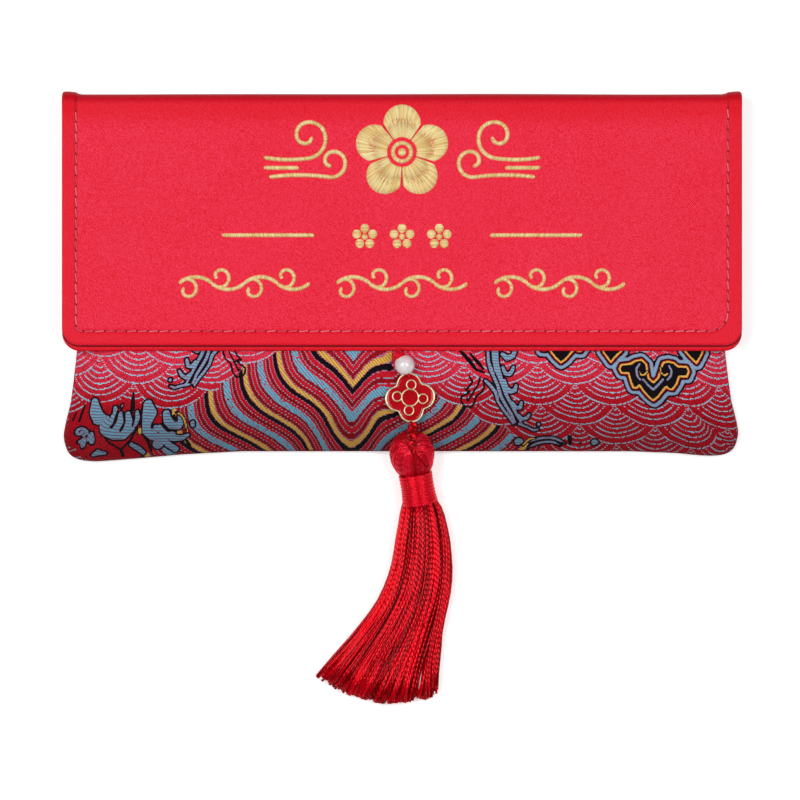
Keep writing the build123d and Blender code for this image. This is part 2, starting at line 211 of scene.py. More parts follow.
class Finish:
    """A new material, with the shader values that are the same all over set straight on their sockets."""

    def __init__(self, name, constants):
        self.material = bpy.data.materials.new(name)
        self.material.use_nodes = True
        self.tree = self.material.node_tree
        self.shader = self.tree.nodes["Principled BSDF"]
        for socket, value in constants.items():
            self.shader.inputs[socket].default_value = value
        self.start = Wire(self.tree, None)

    def place(self):
        """Object coordinates in millimetres."""
        point = self.start.node("ShaderNodeTexCoord", output=3)
        return point.node("ShaderNodeVectorMath", {"operation": "SCALE"}, {0: point, "Scale": 1 / mm})

    def cloth(self, name):
        """The piece's own UV map in millimetres."""
        point = self.start.node("ShaderNodeUVMap", {"uv_map": name})
        return point.node("ShaderNodeVectorMath", {"operation": "SCALE"}, {0: point, "Scale": 1 / mm})

    def attribute(self, name):
        """A number that the mesh holds for each vertex."""
        return self.start.node("ShaderNodeAttribute", {"attribute_name": name}, output=2)

    def feed(self, socket, wire):
        """Links a value that changes over the surface to a socket of the shader."""
        self.tree.links.new(wire.socket, self.shader.inputs[socket])

    def bump(self, height, depth):
        """Height 0 to 1 stands for that depth."""
        normal = height.node("ShaderNodeBump", {}, {"Strength": 1.0, "Distance": depth, "Height": height})
        self.feed("Normal", normal)


print("finish helpers ready")

# %% [markdown]
# Product shots like this one have a white sweep and two large soft boxes overhead, one on each side. They
# leave the fold at the top and the foot of the pouch a little darker, and they draw two gleams on
# everything round. The floor is pale, and a little bright to the camera and to reflections, so that it
# comes out white and still takes the object's shadow.

# %% Floor, lamps and world
white = (1, 1, 1, 1)
floor_size = 4.0
floor_drop = 0.05 * mm
floor_glow = 0.42
lamp_places = (Vector((-0.5, 0.1, 1.0)), Vector((0.5, 0.05, 1.0)))
lamp_powers = (7.0, 5.8)
lamp_size = 0.6
world_level = 0.12

bpy.ops.mesh.primitive_plane_add(size=floor_size, location=(0, 0, cad_box[0].z - floor_drop))
floor = bpy.context.object
floor.name = "floor"
bpy.ops.object.transform_apply(location=True)
sweep = Finish("white_sweep", {"Base Color": dye(247, 247, 247), "Roughness": 0.9, "Emission Color": white})
rays = sweep.tree.nodes.new("ShaderNodeLightPath")
seen = Wire(sweep.tree, rays.outputs["Is Camera Ray"])
for kind in ("Is Glossy Ray", "Is Transmission Ray"):
    seen = seen.math("MAXIMUM", Wire(sweep.tree, rays.outputs[kind]))
sweep.feed("Emission Strength", seen * floor_glow)
floor.data.materials.append(sweep.material)

for place, power in zip(lamp_places, lamp_powers):
    bpy.ops.object.light_add(type="AREA", location=place)
    lamp = bpy.context.object
    lamp.data.size = lamp_size
    lamp.data.energy = power
    lamp.rotation_euler = (-place).to_track_quat("-Z", "Y").to_euler()

world = bpy.data.worlds.new("soft_room")
world.use_nodes = True
world.node_tree.nodes["Background"].inputs["Color"].default_value = white
world.node_tree.nodes["Background"].inputs["Strength"].default_value = world_level
bpy.context.scene.world = world
print("stage: floor, two lamps, world at", world_level)

# %% [markdown]
# Stitches, embroidery, winding, braid and tassel are all thread, and a thread is a thin tube along a line.
# A bevelled curve would do for a few, but the envelope has thousands, so one helper lays them all at once:
# rings of points round each line, joined to a skin. It also writes a UV map, round and along the thread, so
# that a finish can twist its fibres, and a tint per thread.


# %% Thread helper
def run_along(points):
    """How far each point lies along its line, from the line's first point."""
    steps = np.linalg.norm(np.diff(points, axis=-2), axis=-1)
    return np.concatenate([np.zeros((*steps.shape[:-1], 1)), np.cumsum(steps, axis=-1)], axis=-1)


def ways_round(lines, sides):
    """Unit ways out from each point of each line, evenly round it and without twist from ring to ring."""
    along = np.gradient(lines, axis=1)
    along /= np.linalg.norm(along, axis=2, keepdims=True)
    helper = np.where(np.abs(along[:, :1, 2:]) < 0.9, [0.0, 0.0, 1.0], [1.0, 0.0, 0.0])
    side = np.cross(along[:, :1], helper)[:, 0]
    across = np.empty_like(lines)
    for ring in range(lines.shape[1]):
        side = side - along[:, ring] * np.sum(side * along[:, ring], axis=1, keepdims=True)
        side = side / np.linalg.norm(side, axis=1, keepdims=True)
        across[:, ring] = side
    up = np.cross(along, across)
    turn = 2 * math.pi * np.arange(sides) / sides
    return np.cos(turn)[:, None] * across[:, :, None] + np.sin(turn)[:, None] * up[:, :, None]


def mark(mesh, label, values):
    """Writes one number per vertex, which a finish can read."""
    mesh.attributes.new(label, "FLOAT", "POINT").data.foreach_set("value", values.astype(np.float32))


def yarn(name, lines, radius, sides=6):
    """One mesh of threads. Lines is by thread, point and X, Y, Z; radius is one value or one per thread."""
    lines = np.asarray(lines, float)
    count, rings, _ = lines.shape
    points = lines[:, :, None] + np.reshape(radius, (-1, 1, 1, 1)) * ways_round(lines, sides)
    index = np.arange(count * rings * sides).reshape(count, rings, sides)
    low, high = index[:, :-1], index[:, 1:]
    skin = np.stack([low, np.roll(low, -1, 2), np.roll(high, -1, 2), high], -1).reshape(-1, 4)
    faces = skin.tolist() + index[:, 0, ::-1].tolist() + index[:, -1].tolist()
    mesh = bpy.data.meshes.new(name)
    mesh.from_pydata(points.reshape(-1, 3), [], faces)
    part, run = np.arange(sides + 1) / sides, run_along(lines)[:, :, None]
    left, right, near, far = part[:-1], part[1:], run[:, :-1], run[:, 1:]
    corners = [(left, near), (right, near), (right, far), (left, far)]
    uv = np.stack([np.stack(np.broadcast_arrays(*corner), -1) for corner in corners], -2).reshape(-1, 2)
    flat = np.zeros((len(mesh.loops), 2), np.float32)
    flat[:len(uv)] = uv
    mesh.uv_layers.new(name="thread").data.foreach_set("uv", flat.ravel())
    mark(mesh, "tint", np.repeat(draw.random(count), rings * sides))
    mesh.shade_smooth()
    piece = bpy.data.objects.new(name, mesh)
    bpy.context.scene.collection.objects.link(piece)
    return piece


print("thread helper ready")

# %% [markdown]
# Every piece ends in the same way. It gets its material, it says which solids it stands for, and it is
# tied to the part that it moves with, so one helper does all three.


# %% Dressing a piece
def dress(piece, finish, body, slot, *nodes):
    """Gives a piece its material, the CAD nodes that it stands for and its body. Slot is not used. Body is
    None for cloth, which still gets its thickness before it rides."""
    piece.data.materials.clear()
    piece.data.materials.append(finish.material)
    if nodes:
        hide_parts(*nodes)
    if body:
        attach(piece, body)
    print(piece.name, "in", finish.material.name, "with", len(piece.data.polygons), "faces")


print("dressing helper ready")

# %% [markdown]
# The thread finishes share one recipe. Twisted fibres run round the thread at a slant, so a wave over the
# thread's own UV map raises them, and each thread gets its own tint. The stitching threads are plain, and
# the tassel's rayon is smooth, so it gets a tinted gleam and a thin coat.


# %% Thread finishes
def thread_finish(name, dark, light, plies, pitch, fibre_depth, rough, constants):
    """Twisted thread: plies strands that turn once in pitch millimetres."""
    finish = Finish(name, constants)
    round_it, run, _ = finish.cloth("thread").split()
    own = finish.attribute("tint")
    twist = (round_it * (mm * plies) + run / pitch + own * 7.0) % 1.0
    fibre = 1.0 - abs(twist - 0.5) * 2.0
    tint = own * 0.55 + fibre * 0.3 + finish.place().noise(0.35) * 0.3
    finish.feed("Base Color", tint.fade(0.1, 0.95).paint(dark, light))
    finish.feed("Roughness", rough - fibre * 0.14)
    finish.bump(fibre, fibre_depth)
    return finish


gold_thread = thread_finish("gold_thread", dye(226, 178, 90), dye(255, 240, 182), plies=2, pitch=0.9,
                            fibre_depth=0.05 * mm, rough=0.42, constants={"Specular IOR Level": 0.4})
pink_thread = thread_finish("pale_stitch_thread", dye(234, 50, 76), dye(255, 132, 150), plies=2, pitch=1.1,
                            fibre_depth=0.05 * mm, rough=0.42, constants={"Specular IOR Level": 0.2})
red_gleam = {"Specular IOR Level": 0.25, "Specular Tint": (1.0, 0.4, 0.45, 1.0)}
red_thread = thread_finish("red_thread", dye(186, 2, 20), dye(236, 24, 46), plies=2, pitch=1.1,
                           fibre_depth=0.06 * mm, rough=0.42, constants=red_gleam)
rayon = {"Metallic": 0.4, "Specular IOR Level": 0.4, "Specular Tint": (1.0, 0.45, 0.5, 1.0),
         "Coat Weight": 0.08, "Coat Roughness": 0.18}
tassel_yarn = thread_finish("tassel_yarn", dye(108, 0, 2), dye(252, 2, 30), plies=2, pitch=1.5,
                            fibre_depth=0.1 * mm, rough=0.3, constants=rayon)
# The head's yarn is the skirt's yarn painted lighter, a painted light against the shade that the head sits
# in.
head_yarn_painted_lighter = thread_finish("head_yarn_painted_lighter", dye(172, 0, 8), dye(255, 22, 56), plies=2, pitch=1.5,
                          fibre_depth=0.1 * mm, rough=0.3, constants=rayon)
wrap_yarn = thread_finish("wrap_yarn", dye(150, 0, 8), dye(248, 10, 42), plies=1, pitch=60.0,
                          fibre_depth=0.02 * mm, rough=0.32, constants=rayon)
print("six thread finishes")

# %% [markdown]
# The pouch is two brocade panels sewn together at the sides and the bottom, with a little padding. It could
# be sculpted from a box, but then the pattern would have no cloth to lie on. On the bench each panel is a
# flat cut, so each starts as a flat grid in cloth millimetres, kept as its UV map, and is then laid over
# the pillow: flat in the middle, round over the shoulder and down to the seam.


# %% Cloth grids
def spaced(*stretches):
    """Places along a grid's side, from stretches of start, end and spacing."""
    places = []
    for start, end, step in stretches:
        count = max(2, round(abs(end - start) / step) + 1)
        places.append(np.linspace(start, end, count))
    return np.unique(np.round(np.concatenate(places), 9))


def cloth_grid(name, across, along):
    """A flat grid with those column and row places, from the grid primitive, and each vertex's own places."""
    bpy.ops.object.select_all(action="DESELECT")
    bpy.ops.mesh.primitive_grid_add(x_subdivisions=len(across) - 1, y_subdivisions=len(along) - 1, size=2)
    piece = bpy.context.object
    piece.name = name
    mesh = piece.data
    flat = np.empty(len(mesh.vertices) * 3)
    mesh.vertices.foreach_get("co", flat)
    flat = flat.reshape(-1, 3)
    u = across[np.rint((flat[:, 0] + 1) / 2 * (len(across) - 1)).astype(int)]
    v = along[np.rint((flat[:, 1] + 1) / 2 * (len(along) - 1)).astype(int)]
    corners = np.empty(len(mesh.loops), int)
    mesh.loops.foreach_get("vertex_index", corners)
    layer = mesh.uv_layers[0]
    layer.name = "cloth"
    layer.data.foreach_set("uv", np.stack([u, v], 1)[corners].astype(np.float32).ravel())
    return piece, u, v


print("cloth grids ready")


# %% Laying and thickening cloth
def lay(piece, x, y, z):
    """Moves the grid's points to their places on the object."""
    piece.data.vertices.foreach_set("co", np.stack([x, y, z], 1).astype(np.float32).ravel())
    piece.data.update()
    piece.data.shade_smooth()


def thicken(piece, thickness, inner_finish=None):
    """Gives a sheet its thickness inwards and, if told, another finish inside."""
    bpy.context.view_layer.objects.active = piece
    solid = piece.modifiers.new("thickness", "SOLIDIFY")
    solid.thickness = thickness
    solid.offset = -1.0
    solid.use_even_offset = True
    if inner_finish:
        piece.data.materials.append(inner_finish.material)
        solid.material_offset = 1
        solid.material_offset_rim = 1
    bpy.ops.object.modifier_apply(modifier=solid.name)
    piece.data.shade_smooth()


def round_corner(u, v, half, low, corner, square):
    """How far each cloth point lies out in the border ring, its foot on the ring's inner edge, and its way
    out. Square sets how square the ring turns its corners: 2 is a circle."""
    out_x = np.maximum(np.abs(u) - (half - corner), 0)
    out_y = np.maximum(low + corner - v, 0)
    ring = np.maximum(out_x, out_y)
    length = np.maximum((out_x ** square + out_y ** square) ** (1 / square), 1e-12)
    foot = np.clip(u, corner - half, half - corner), np.maximum(v, low + corner)
    return ring, foot, (np.sign(u) * out_x / length, -out_y / length)


print("cloth helpers ready")

# %% [markdown]
# Brocade shows its figures as floating weft: on each row of the weave the coloured thread either lies on
# top or hides. That is why its curves break into dashes where they run level and into dots where they
# climb. A painted picture would blur close up, so the finish does what the loom does. It rounds the height
# to the nearest weft row before it asks what figure lies there. Wave scales in staggered rows fill the
# sides, and standing-water stripes run in chevrons down the middle.

# %% Brocade colours
brocade_red = dye(206, 16, 38)
# Painted light: a lighter red for the upper ground, near the flap.
brocade_painted_light = dye(250, 58, 86)
brocade_deep = dye(138, 0, 8)
brocade_blue = dye(122, 188, 218)
brocade_line = dye(146, 218, 246)
brocade_lilac = dye(160, 150, 186)
brocade_black = dye(18, 8, 18)
brocade_gold = dye(240, 190, 86)
print("eight brocade colours")

# %% Wave scales
scale_radius = 12.25
scale_pitch = 20.95
scale_step = 6.2
scale_start = (49.4, -32.2)
askew_from, askew_middle, askew_slope, askew_drop = -52.0, -76.0, 0.12, 0.9
stripe_axis = -14.0
stripe_foot = -50.0
left_spread, left_start = 1.85, 84.0
right_spread, right_start = 1.1, 54.0


def wave_scales(u, v):
    """The wave scale that shows at each point: the distance from its centre, how steep its rings run and
    whether one shows. The scales leave a wedge free round the stripes' axis, and on the left the cloth lies
    askew."""
    shift = (u < askew_from) * ((u - askew_middle) * askew_slope - askew_drop)
    v = v + shift
    row = ((v - scale_start[1]) / scale_step).math("FLOOR")
    shown, reach, steep = None, None, None
    for step in (0, 1, 2):
        index = row + step
        height = index * scale_step + scale_start[1]
        stagger = (index % 2.0) * (scale_pitch / 2)
        across = (u - stagger + (scale_pitch / 2 - scale_start[0])) % scale_pitch - scale_pitch / 2
        away = (across * across + (v - height) * (v - height)).math("SQRT")
        centre = u - across
        rise = height - shift + (0.5 - stripe_foot)
        left = stripe_axis - centre + rise * left_spread - left_start
        right = centre - stripe_axis + rise * right_spread - right_start
        here = (away < scale_radius) * (left.math("MAXIMUM", right) > 0.0)
        slope = abs(across) / away
        if shown is None:
            shown, reach, steep = here, away, slope
        else:
            reach = reach + (away - reach) * here
            steep = steep + (slope - steep) * here
            shown = shown.math("MAXIMUM", here)
    return reach, steep, shown


print("wave scales of", scale_radius, "mm")

# %% Standing water
stripe_period = 10.9
slant_cos, slant_sin = 0.863, 0.505
swing_start, swing_length, swing_size = 16.5, 45, 3.9
stripe_offset = 30.8
tip_slope, tip_rise, tip_offset, tip_round = 0.75, 0.589, 33.0, 1.8


def standing_water(u, v):
    """Wavy stripes on both sides of an axis: the colour, and in alpha its kind, 0 for ground, 0.5 for dots,
    0.8 for ragged floats and 1 for full ones. Near the axis the stripes meet in rounded tips."""
    out, rise = abs(u - stripe_axis), v - stripe_foot
    across = out * slant_cos - rise * slant_sin
    along = out * slant_sin + rise * slant_cos
    ragged = out.node("ShaderNodeCombineXYZ", {}, {0: u * 0.4, 1: v * 9.0}).noise(1.0)
    right = (u - stripe_axis).fade(2.0, 12.0)
    swing = ((along - swing_start + right * 3.6) * (math.tau / swing_length)).math("SINE")
    wide = across - swing * (right * 0.5 + swing_size) - right * 2.6 + stripe_offset
    soft = v.fade(-40.0, -48.0) * tip_round
    tip = (out * out + soft * soft).math("SQRT") * tip_slope - soft * tip_slope - rise * tip_rise + tip_offset
    near_axis = out.fade(17.0, 2.0)
    phase = ((wide + (tip - wide) * near_axis + (ragged - 0.5) * 0.8) % stripe_period) / stripe_period
    ground, deep = (*brocade_red[:3], 0.0), (*brocade_deep[:3], 0.0)
    blue_dots, lilac_dots = (*brocade_blue[:3], 0.5), (*brocade_lilac[:3], 0.5)
    blue_floats = (*brocade_blue[:3], 0.8)
    ramp = phase.node("ShaderNodeValToRGB", {"stops": [
        (0.0, brocade_gold), (0.1, lilac_dots), (0.116, brocade_black), (0.225, lilac_dots), (0.243, ground),
        (0.33, blue_dots), (0.35, deep), (0.43, blue_dots), (0.45, ground), (0.51, blue_floats),
        (0.68, deep), (0.75, blue_dots), (0.77, ground), (0.86, blue_dots), (0.88, deep), (0.965, lilac_dots),
    ]}, {0: phase})
    return ramp, Wire(ramp.tree, ramp.socket.node.outputs["Alpha"])


print("stripes every", stripe_period, "mm")

# %% [markdown]
# Foam crests, breakers and cloud heads lie over the waves, each with a black outline. Formulas would make
# them stiff, so they are drawn like a cut paper pattern, from round pieces and tapering strokes. Each point
# of the cloth is told how far it lies inside the nearest shape, and the finish turns that depth into
# outline, border and core.


# %% Lines and strokes
def smooth(points, count):
    """A smooth line through the given points."""
    points = np.array([tuple(point) for point in points], float)
    ghost = np.concatenate([[2 * points[0] - points[1]], points, [2 * points[-1] - points[-2]]])
    places = np.linspace(0, len(points) - 1 - 1e-9, count)
    k = places.astype(int)
    t = (places - k)[:, None]
    a, b, c, d = (ghost[k + n] for n in range(4))
    square, cube = 2 * a - 5 * b + 4 * c - d, 3 * b - a - 3 * c + d
    return 0.5 * (2 * b + (c - a) * t + square * t ** 2 + cube * t ** 3)


def bends(start, heading, size, turns, step=0.1 * mm):
    """Points and headings along a chain of tangent arcs. A turn is a radius, as a share of size, and its
    degrees."""
    points, headings = [np.array(start, float)], [heading]
    for radius_share, turn in turns:
        radius = radius_share * size
        count = max(4, int(abs(math.radians(turn)) * radius / step))
        for _ in range(count):
            length = 2 * radius * math.sin(math.radians(abs(turn)) / count / 2)
            middle = math.radians(headings[-1] + turn / count / 2)
            points.append(points[-1] + length * np.array([math.cos(middle), math.sin(middle)]))
            headings.append(headings[-1] + turn / count)
    return np.array(points), np.radians(headings)


def ribbon(points, offsets, radius, narrow=0.45, stagger=0.0):
    """Parallel strokes along a smooth line, drawing closer towards its end, each starting and ending a little
    later than the last. A stroke is a list of X, Y and radius."""
    count, taper_steps = 26, 6
    strokes = []
    for k, offset in enumerate(offsets):
        share = np.linspace(k * stagger, 1 - (len(offsets) - 1 - k) * stagger, count)
        line = smooth(points, 201)[np.rint(share * 200).astype(int)]
        way = np.gradient(line, axis=0)
        way /= np.linalg.norm(way, axis=1, keepdims=True)
        line = line + np.stack([-way[:, 1], way[:, 0]], 1) * (offset * (1 - narrow * share))[:, None]
        from_end = np.minimum(np.arange(count) + 1, count - np.arange(count))
        taper = np.clip(from_end / taper_steps, 0, 1)
        strokes.append([(x, y, radius * r) for (x, y), r in zip(line, taper)])
    return strokes


def curl(x, y, size, start, way=1, turns=0.75, radius=0.22):
    """A hook round a point: it starts at that angle and tightens."""
    share = np.linspace(0, 1, 22)
    angle = math.radians(start) + way * turns * math.tau * share
    reach = size * (1 - 0.8 * share)
    return [[(x + r * math.cos(a), y + r * math.sin(a), radius) for r, a in zip(reach, angle)]]


print("lines, arcs, ribbons and curls ready")

# %% Distances on the cloth
farthest = 9.0
mirror_skew = (9.1, 47.4, 0.26)


def inside(u, v, strokes):
    """How far each cloth point lies from the nearest stroke's edge, in millimetres, negative inside."""
    best = np.full(len(u), farthest)
    for stroke in strokes:
        for (x0, y0, r0), (x1, y1, r1) in zip(stroke, stroke[1:] or stroke):
            near = (np.abs(u - x0) < farthest) & (np.abs(v - y0) < farthest)
            long = max((x1 - x0) ** 2 + (y1 - y0) ** 2, 1e-9)
            share = np.clip(((u[near] - x0) * (x1 - x0) + (v[near] - y0) * (y1 - y0)) / long, 0, 1)
            away = np.hypot(u[near] - x0 - share * (x1 - x0), v[near] - y0 - share * (y1 - y0))
            best[near] = np.minimum(best[near], away - r0 - share * (r1 - r0))
    return best


def edge_distance(u, v, outlines):
    """How far each cloth point lies from the nearest closed outline, negative inside one."""
    away = inside(u, v, [[(x, y, 0.0) for x, y in outline + outline[:1]] for outline in outlines])
    within = np.zeros(len(u), bool)
    for outline in outlines:
        odd = np.zeros(len(u), bool)
        for (x0, y0), (x1, y1) in zip(outline, outline[1:] + outline[:1]):
            odd ^= ((y0 > v) != (y1 > v)) & (u < x0 + (v - y0) * (x1 - x0) / (y1 - y0 or 1.0))
        within |= odd
    return np.where(within, -away, away)


def mirrored(strokes):
    """The same strokes on the left of the stripes' axis, where the cloth lies a little askew."""
    rise, place, slope = mirror_skew
    turned = [[(2 * stripe_axis - x, y, radius) for x, y, radius in stroke] for stroke in strokes]
    return [[(x, y + rise - (x + place) * slope, radius) for x, y, radius in stroke] for stroke in turned]


print("figure helpers ready")

# %% [markdown]
# The strokes are listed as a pattern drafter would note them: X, Y and half the width, in millimetres of
# cloth. The foam branch is drawn once, on the right, and mirrored to the left, because the loom repeats it
# so. The breakers in the left corner are foam lobes joined along their foot.

# %% Foam figures
bare_patch = (-80.5, -44.5, 15.0, 9.0)
foam_branch = [
    [(26.9, -18.0, 0.9), (27.0, -24.4, 0.86), (27.3, -27.1, 0.76), (28.1, -29.5, 0.61), (28.8, -31.9, 0.46),
     (29.6, -34.9, 0.41), (31.0, -38.1, 0.36), (32.2, -41.3, 0.3), (33.3, -43.9, 0.2)],
    [(24.8, -19.0, 0.25), (25.0, -25.2, 0.36), (25.6, -27.6, 0.46), (26.5, -30.0, 0.36), (27.4, -32.4, 0.36),
     (28.1, -35.4, 0.36), (29.2, -37.9, 0.36), (30.7, -40.9, 0.3), (31.5, -43.6, 0.25)],
    [(23.9, -30.8, 0.3), (25.4, -32.4, 0.41), (26.6, -34.3, 0.36), (27.2, -37.1, 0.3), (28.5, -39.5, 0.3),
     (30.1, -42.1, 0.3), (31.0, -44.2, 0.2)],
    [(29.1, -23.0, 0.47), (30.4, -24.1, 0.73), (32.0, -23.6, 0.6), (32.7, -22.2, 0.47)],
    [(29.0, -26.8, 0.33), (29.7, -28.7, 0.47), (30.9, -29.0, 0.47), (31.7, -27.9, 0.47), (32.1, -26.8, 0.33)],
    [(29.3, -30.8, 0.39), (29.8, -32.7, 0.47), (30.9, -34.1, 0.53), (32.2, -33.8, 0.47), (32.6, -32.2, 0.33)],
    [(31.3, -37.3, 0.33), (32.2, -39.0, 0.39), (33.3, -39.0, 0.47), (33.8, -37.3, 0.33)],
    [(32.7, -41.3, 0.33), (33.6, -42.6, 0.39), (34.9, -42.1, 0.39), (35.7, -41.0, 0.26)],
    [(32.5, -44.2, 0.26), (34.7, -45.1, 0.26), (36.5, -46.1, 0.26), (37.8, -45.9, 0.2)],
    [(38.0, -44.2, 0.41)],
]
branch_lines = [
    [(16.9, -21.9, 0.36), (19.6, -25.1, 0.51), (21.4, -27.5, 0.3), (23.7, -28.4, 0.2)],
    [(19.6, -22.7, 0.2), (22.0, -25.3, 0.46), (23.5, -27.3, 0.2)],
    [(x, y, 0.16) for x, y in (
        (19.2, -29.2), (20.2, -31.1), (19.4, -32.4), (18.1, -33.5), (19.4, -34.0), (18.3, -34.9),
        (16.9, -35.4), (16.8, -37.0), (17.7, -38.4), (19.4, -38.9), (20.4, -37.6), (21.1, -35.4),
        (22.7, -34.3), (23.5, -32.7), (23.4, -30.5))],
    [(x, y, 0.15) for x, y in (
        (22.4, -29.7), (22.0, -31.6), (20.8, -33.5), (19.6, -35.4), (18.7, -36.9), (18.3, -36.2))],
]
breakers = [
    [(-85.0, -41.2, 1.2), (-82.4, -43.6, 1.2), (-79.6, -45.0, 1.1), (-77.0, -45.2, 1.0), (-74.8, -43.6, 0.7)],
    [(-70.9, -44.0, 1.2), (-69.0, -46.2, 1.1), (-66.4, -46.8, 1.0), (-63.6, -46.4, 0.9)],
    [(-87.0, -35.6, 0.9), (-86.2, -38.0, 1.5), (-84.6, -40.6, 1.6), (-82.7, -42.3, 1.2), (-81.3, -41.5, 0.8),
     (-81.0, -39.6, 0.6), (-80.9, -37.4, 0.3)],
    [(-78.8, -39.2, 0.5), (-78.4, -41.4, 0.85), (-79.3, -43.4, 0.95), (-80.8, -44.7, 0.6)],
    [(-76.7, -39.2, 0.6), (-75.9, -41.4, 0.85), (-76.2, -43.6, 1.0), (-77.4, -45.1, 0.6)],
    [(-74.2, -38.8, 0.4), (-73.7, -40.6, 0.55), (-74.0, -42.4, 0.4)],
    [(-71.6, -36.8, 1.1), (-70.6, -39.6, 1.9), (-70.9, -42.2, 1.2), (-70.7, -44.1, 1.0), (-69.5, -45.4, 0.95),
     (-68.3, -44.6, 0.7), (-68.4, -43.2, 0.35)],
    [(-66.0, -39.6, 0.8), (-65.1, -41.9, 1.1), (-63.7, -43.5, 1.1), (-61.9, -43.9, 1.0), (-61.2, -42.6, 0.8),
     (-61.9, -41.0, 0.5)],
    [(-67.3, -43.6, 0.6), (-65.5, -46.2, 0.9), (-63.3, -47.4, 0.9), (-61.0, -47.6, 0.7),
     (-59.2, -46.8, 0.35)],
    [(-58.1, -42.9, 0.5), (-57.9, -43.9, 0.5)],
    [(-66.4, -47.4, 0.6), (-64.6, -49.4, 0.8), (-62.7, -50.9, 0.8)],
    [(-79.1, -37.3, 0.3)],
    [(-74.9, -48.0, 0.5), (-73.0, -49.6, 0.7), (-71.6, -51.0, 0.5)],
    [(-86.0, -50.4, 0.3), (-84.4, -49.6, 0.7), (-82.2, -49.9, 0.3)],
]
breaker_lines = [
    [(-89.8, -36.5, 0.19), (-90.2, -38.9, 0.25), (-90.5, -41.0, 0.19)],
    [(-91.9, -38.7, 0.16), (-92.3, -40.8, 0.16)],
    [(-76.2, -33.4, 0.09), (-76.0, -35.4, 0.43), (-75.6, -38.0, 0.56)],
    [(-72.9, -36.1, 0.12), (-73.1, -38.2, 0.12), (-72.7, -42.8, 0.12)],
    [(-83.2, -44.0, 0.2), (-81.0, -47.0, 0.2), (-77.8, -49.3, 0.2), (-75.0, -46.6, 0.2), (-73.3, -43.4, 0.2)],
    [(-77.8, -49.3, 0.3), (-77.4, -51.4, 0.35)],
    [(-71.8, -45.2, 0.2), (-70.4, -47.4, 0.3), (-69.4, -50.7, 0.25)],
    [(-63.5, -40.6, 0.3), (-63.2, -42.0, 0.35)],
    [(-59.6, -48.5, 0.31), (-58.7, -50.1, 0.31)],
]
foam_hooks = [
    (-89.7, -44.2, 1.7, 290, 1), (-86.7, -46.5, 1.35, 200, -1), (-90.0, -47.9, 1.2, 60, -1),
    (-67.3, -48.8, 1.4, 150, 1), (32.4, -49.8, 1.0, 0, 1), (53.6, -50.0, 0.7, 0, 1),
]
foam = foam_branch + mirrored(foam_branch) + breakers
foam += ribbon([(35.0, -50.8), (38.4, -49.4), (42.0, -49.2), (45.2, -50.8)], (-0.7, 0.7), 0.28, 0.1, 0.08)
for hook in foam_hooks:
    foam += curl(*hook, turns=1.3, radius=0.34)
ink = branch_lines + mirrored(branch_lines) + breaker_lines
ink += ribbon([(46.6, -47.4), (46.9, -50.8)], (-0.3, 0.3), 0.25) + [[(49.6, -50.2, 0.3)]]
gilded = [[(-72.6, -43.8, 0.31), (-72.4, -44.8, 0.31)]]
gilded += ribbon([(-63.1, -39.7), (-61.5, -40.6), (-60.2, -42.7), (-59.3, -45.9)], (0,), 0.12)
gilded += ribbon([(33.6, -51.0), (35.4, -49.0), (37.2, -48.6)], (0,), 0.1)
print(len(foam), "foam strokes and", len(ink), "lines")

# %% Cloud figures
cloud_head = [
    (71.2, -36.6), (69.9, -35.3), (68.7, -33.7), (67.9, -32.1), (67.0, -32.9), (66.0, -32.9), (65.5, -31.1),
    (65.1, -28.6), (63.0, -28.5), (62.5, -27.3), (63.2, -26.1), (65.9, -25.8), (67.2, -25.0), (69.1, -24.6),
    (70.4, -25.9), (70.5, -28.1), (70.7, -30.1), (71.9, -31.3), (73.4, -30.0), (74.1, -28.3), (74.7, -26.7),
    (75.3, -25.4), (76.9, -25.1), (78.4, -25.5), (79.4, -26.5), (82.0, -26.6), (82.5, -27.9), (81.7, -29.4),
    (79.5, -29.4), (78.6, -31.4), (77.1, -33.3), (76.1, -33.1), (75.5, -32.4), (74.1, -33.9), (72.7, -35.5),
]
cloud_edges = [
    cloud_head, [(x - 25.4, y + 11.1) for x, y in cloud_head],
    [(60.2, -25.3), (58.3, -22.2), (58.3, -18.0), (63.6, -18.0), (63.6, -22.0), (61.9, -23.5)],
    [(85.0, -25.5), (83.3, -23.8), (81.9, -22.0), (81.9, -18.0), (87.3, -18.0), (87.3, -22.2)],
]
foam += [
    [(68.5, -25.8, 0.23), (67.4, -27.3, 0.23), (67.5, -29.4, 0.23), (68.3, -30.6, 0.23)],
    [(69.1, -30.4, 0.23), (70.3, -32.1, 0.25), (71.6, -33.4, 0.25), (73.3, -31.9, 0.25), (74.8, -30.3, 0.23)],
    [(76.8, -26.3, 0.23), (77.5, -27.8, 0.23), (77.1, -29.3, 0.23), (76.0, -30.5, 0.2)],
]
gilded += [
    [(70.5, -28.1, 0.08), (69.5, -29.2, 0.08), (68.5, -29.0, 0.08), (68.3, -28.1, 0.08)],
    [(74.4, -27.0, 0.08), (74.5, -28.6, 0.08), (75.5, -29.2, 0.08), (76.3, -28.6, 0.08)],
]


def draw_figures(piece, u, v):
    """Writes how far each cloth point is from the foam, the ink lines, the clouds and the gold lines."""
    u, v = u / mm, v / mm
    mark(piece.data, "foam", inside(u, v, foam))
    mark(piece.data, "ink", inside(u, v, ink))
    mark(piece.data, "cloud", edge_distance(u, v, cloud_edges))
    mark(piece.data, "gilded", inside(u, v, gilded))


print(len(cloud_edges), "clouds and", len(gilded), "gold lines")

# %% [markdown]
# The finish puts these together from the ground up: a grained red ground, stripes or scales on it, and the
# figures last. Each row of weft decides for itself, and dots and level lines show only on every second row,
# so the cloth reads as woven and not as printed.

# %% Figures over the waves
wobble_size = 0.4
line_half = 0.14
cloud_border, cloud_depths = 2.4, 6.0
foam_border = 0.55
gold_border = 0.42
fleece_pitch, fleece_line = 0.84, 0.26


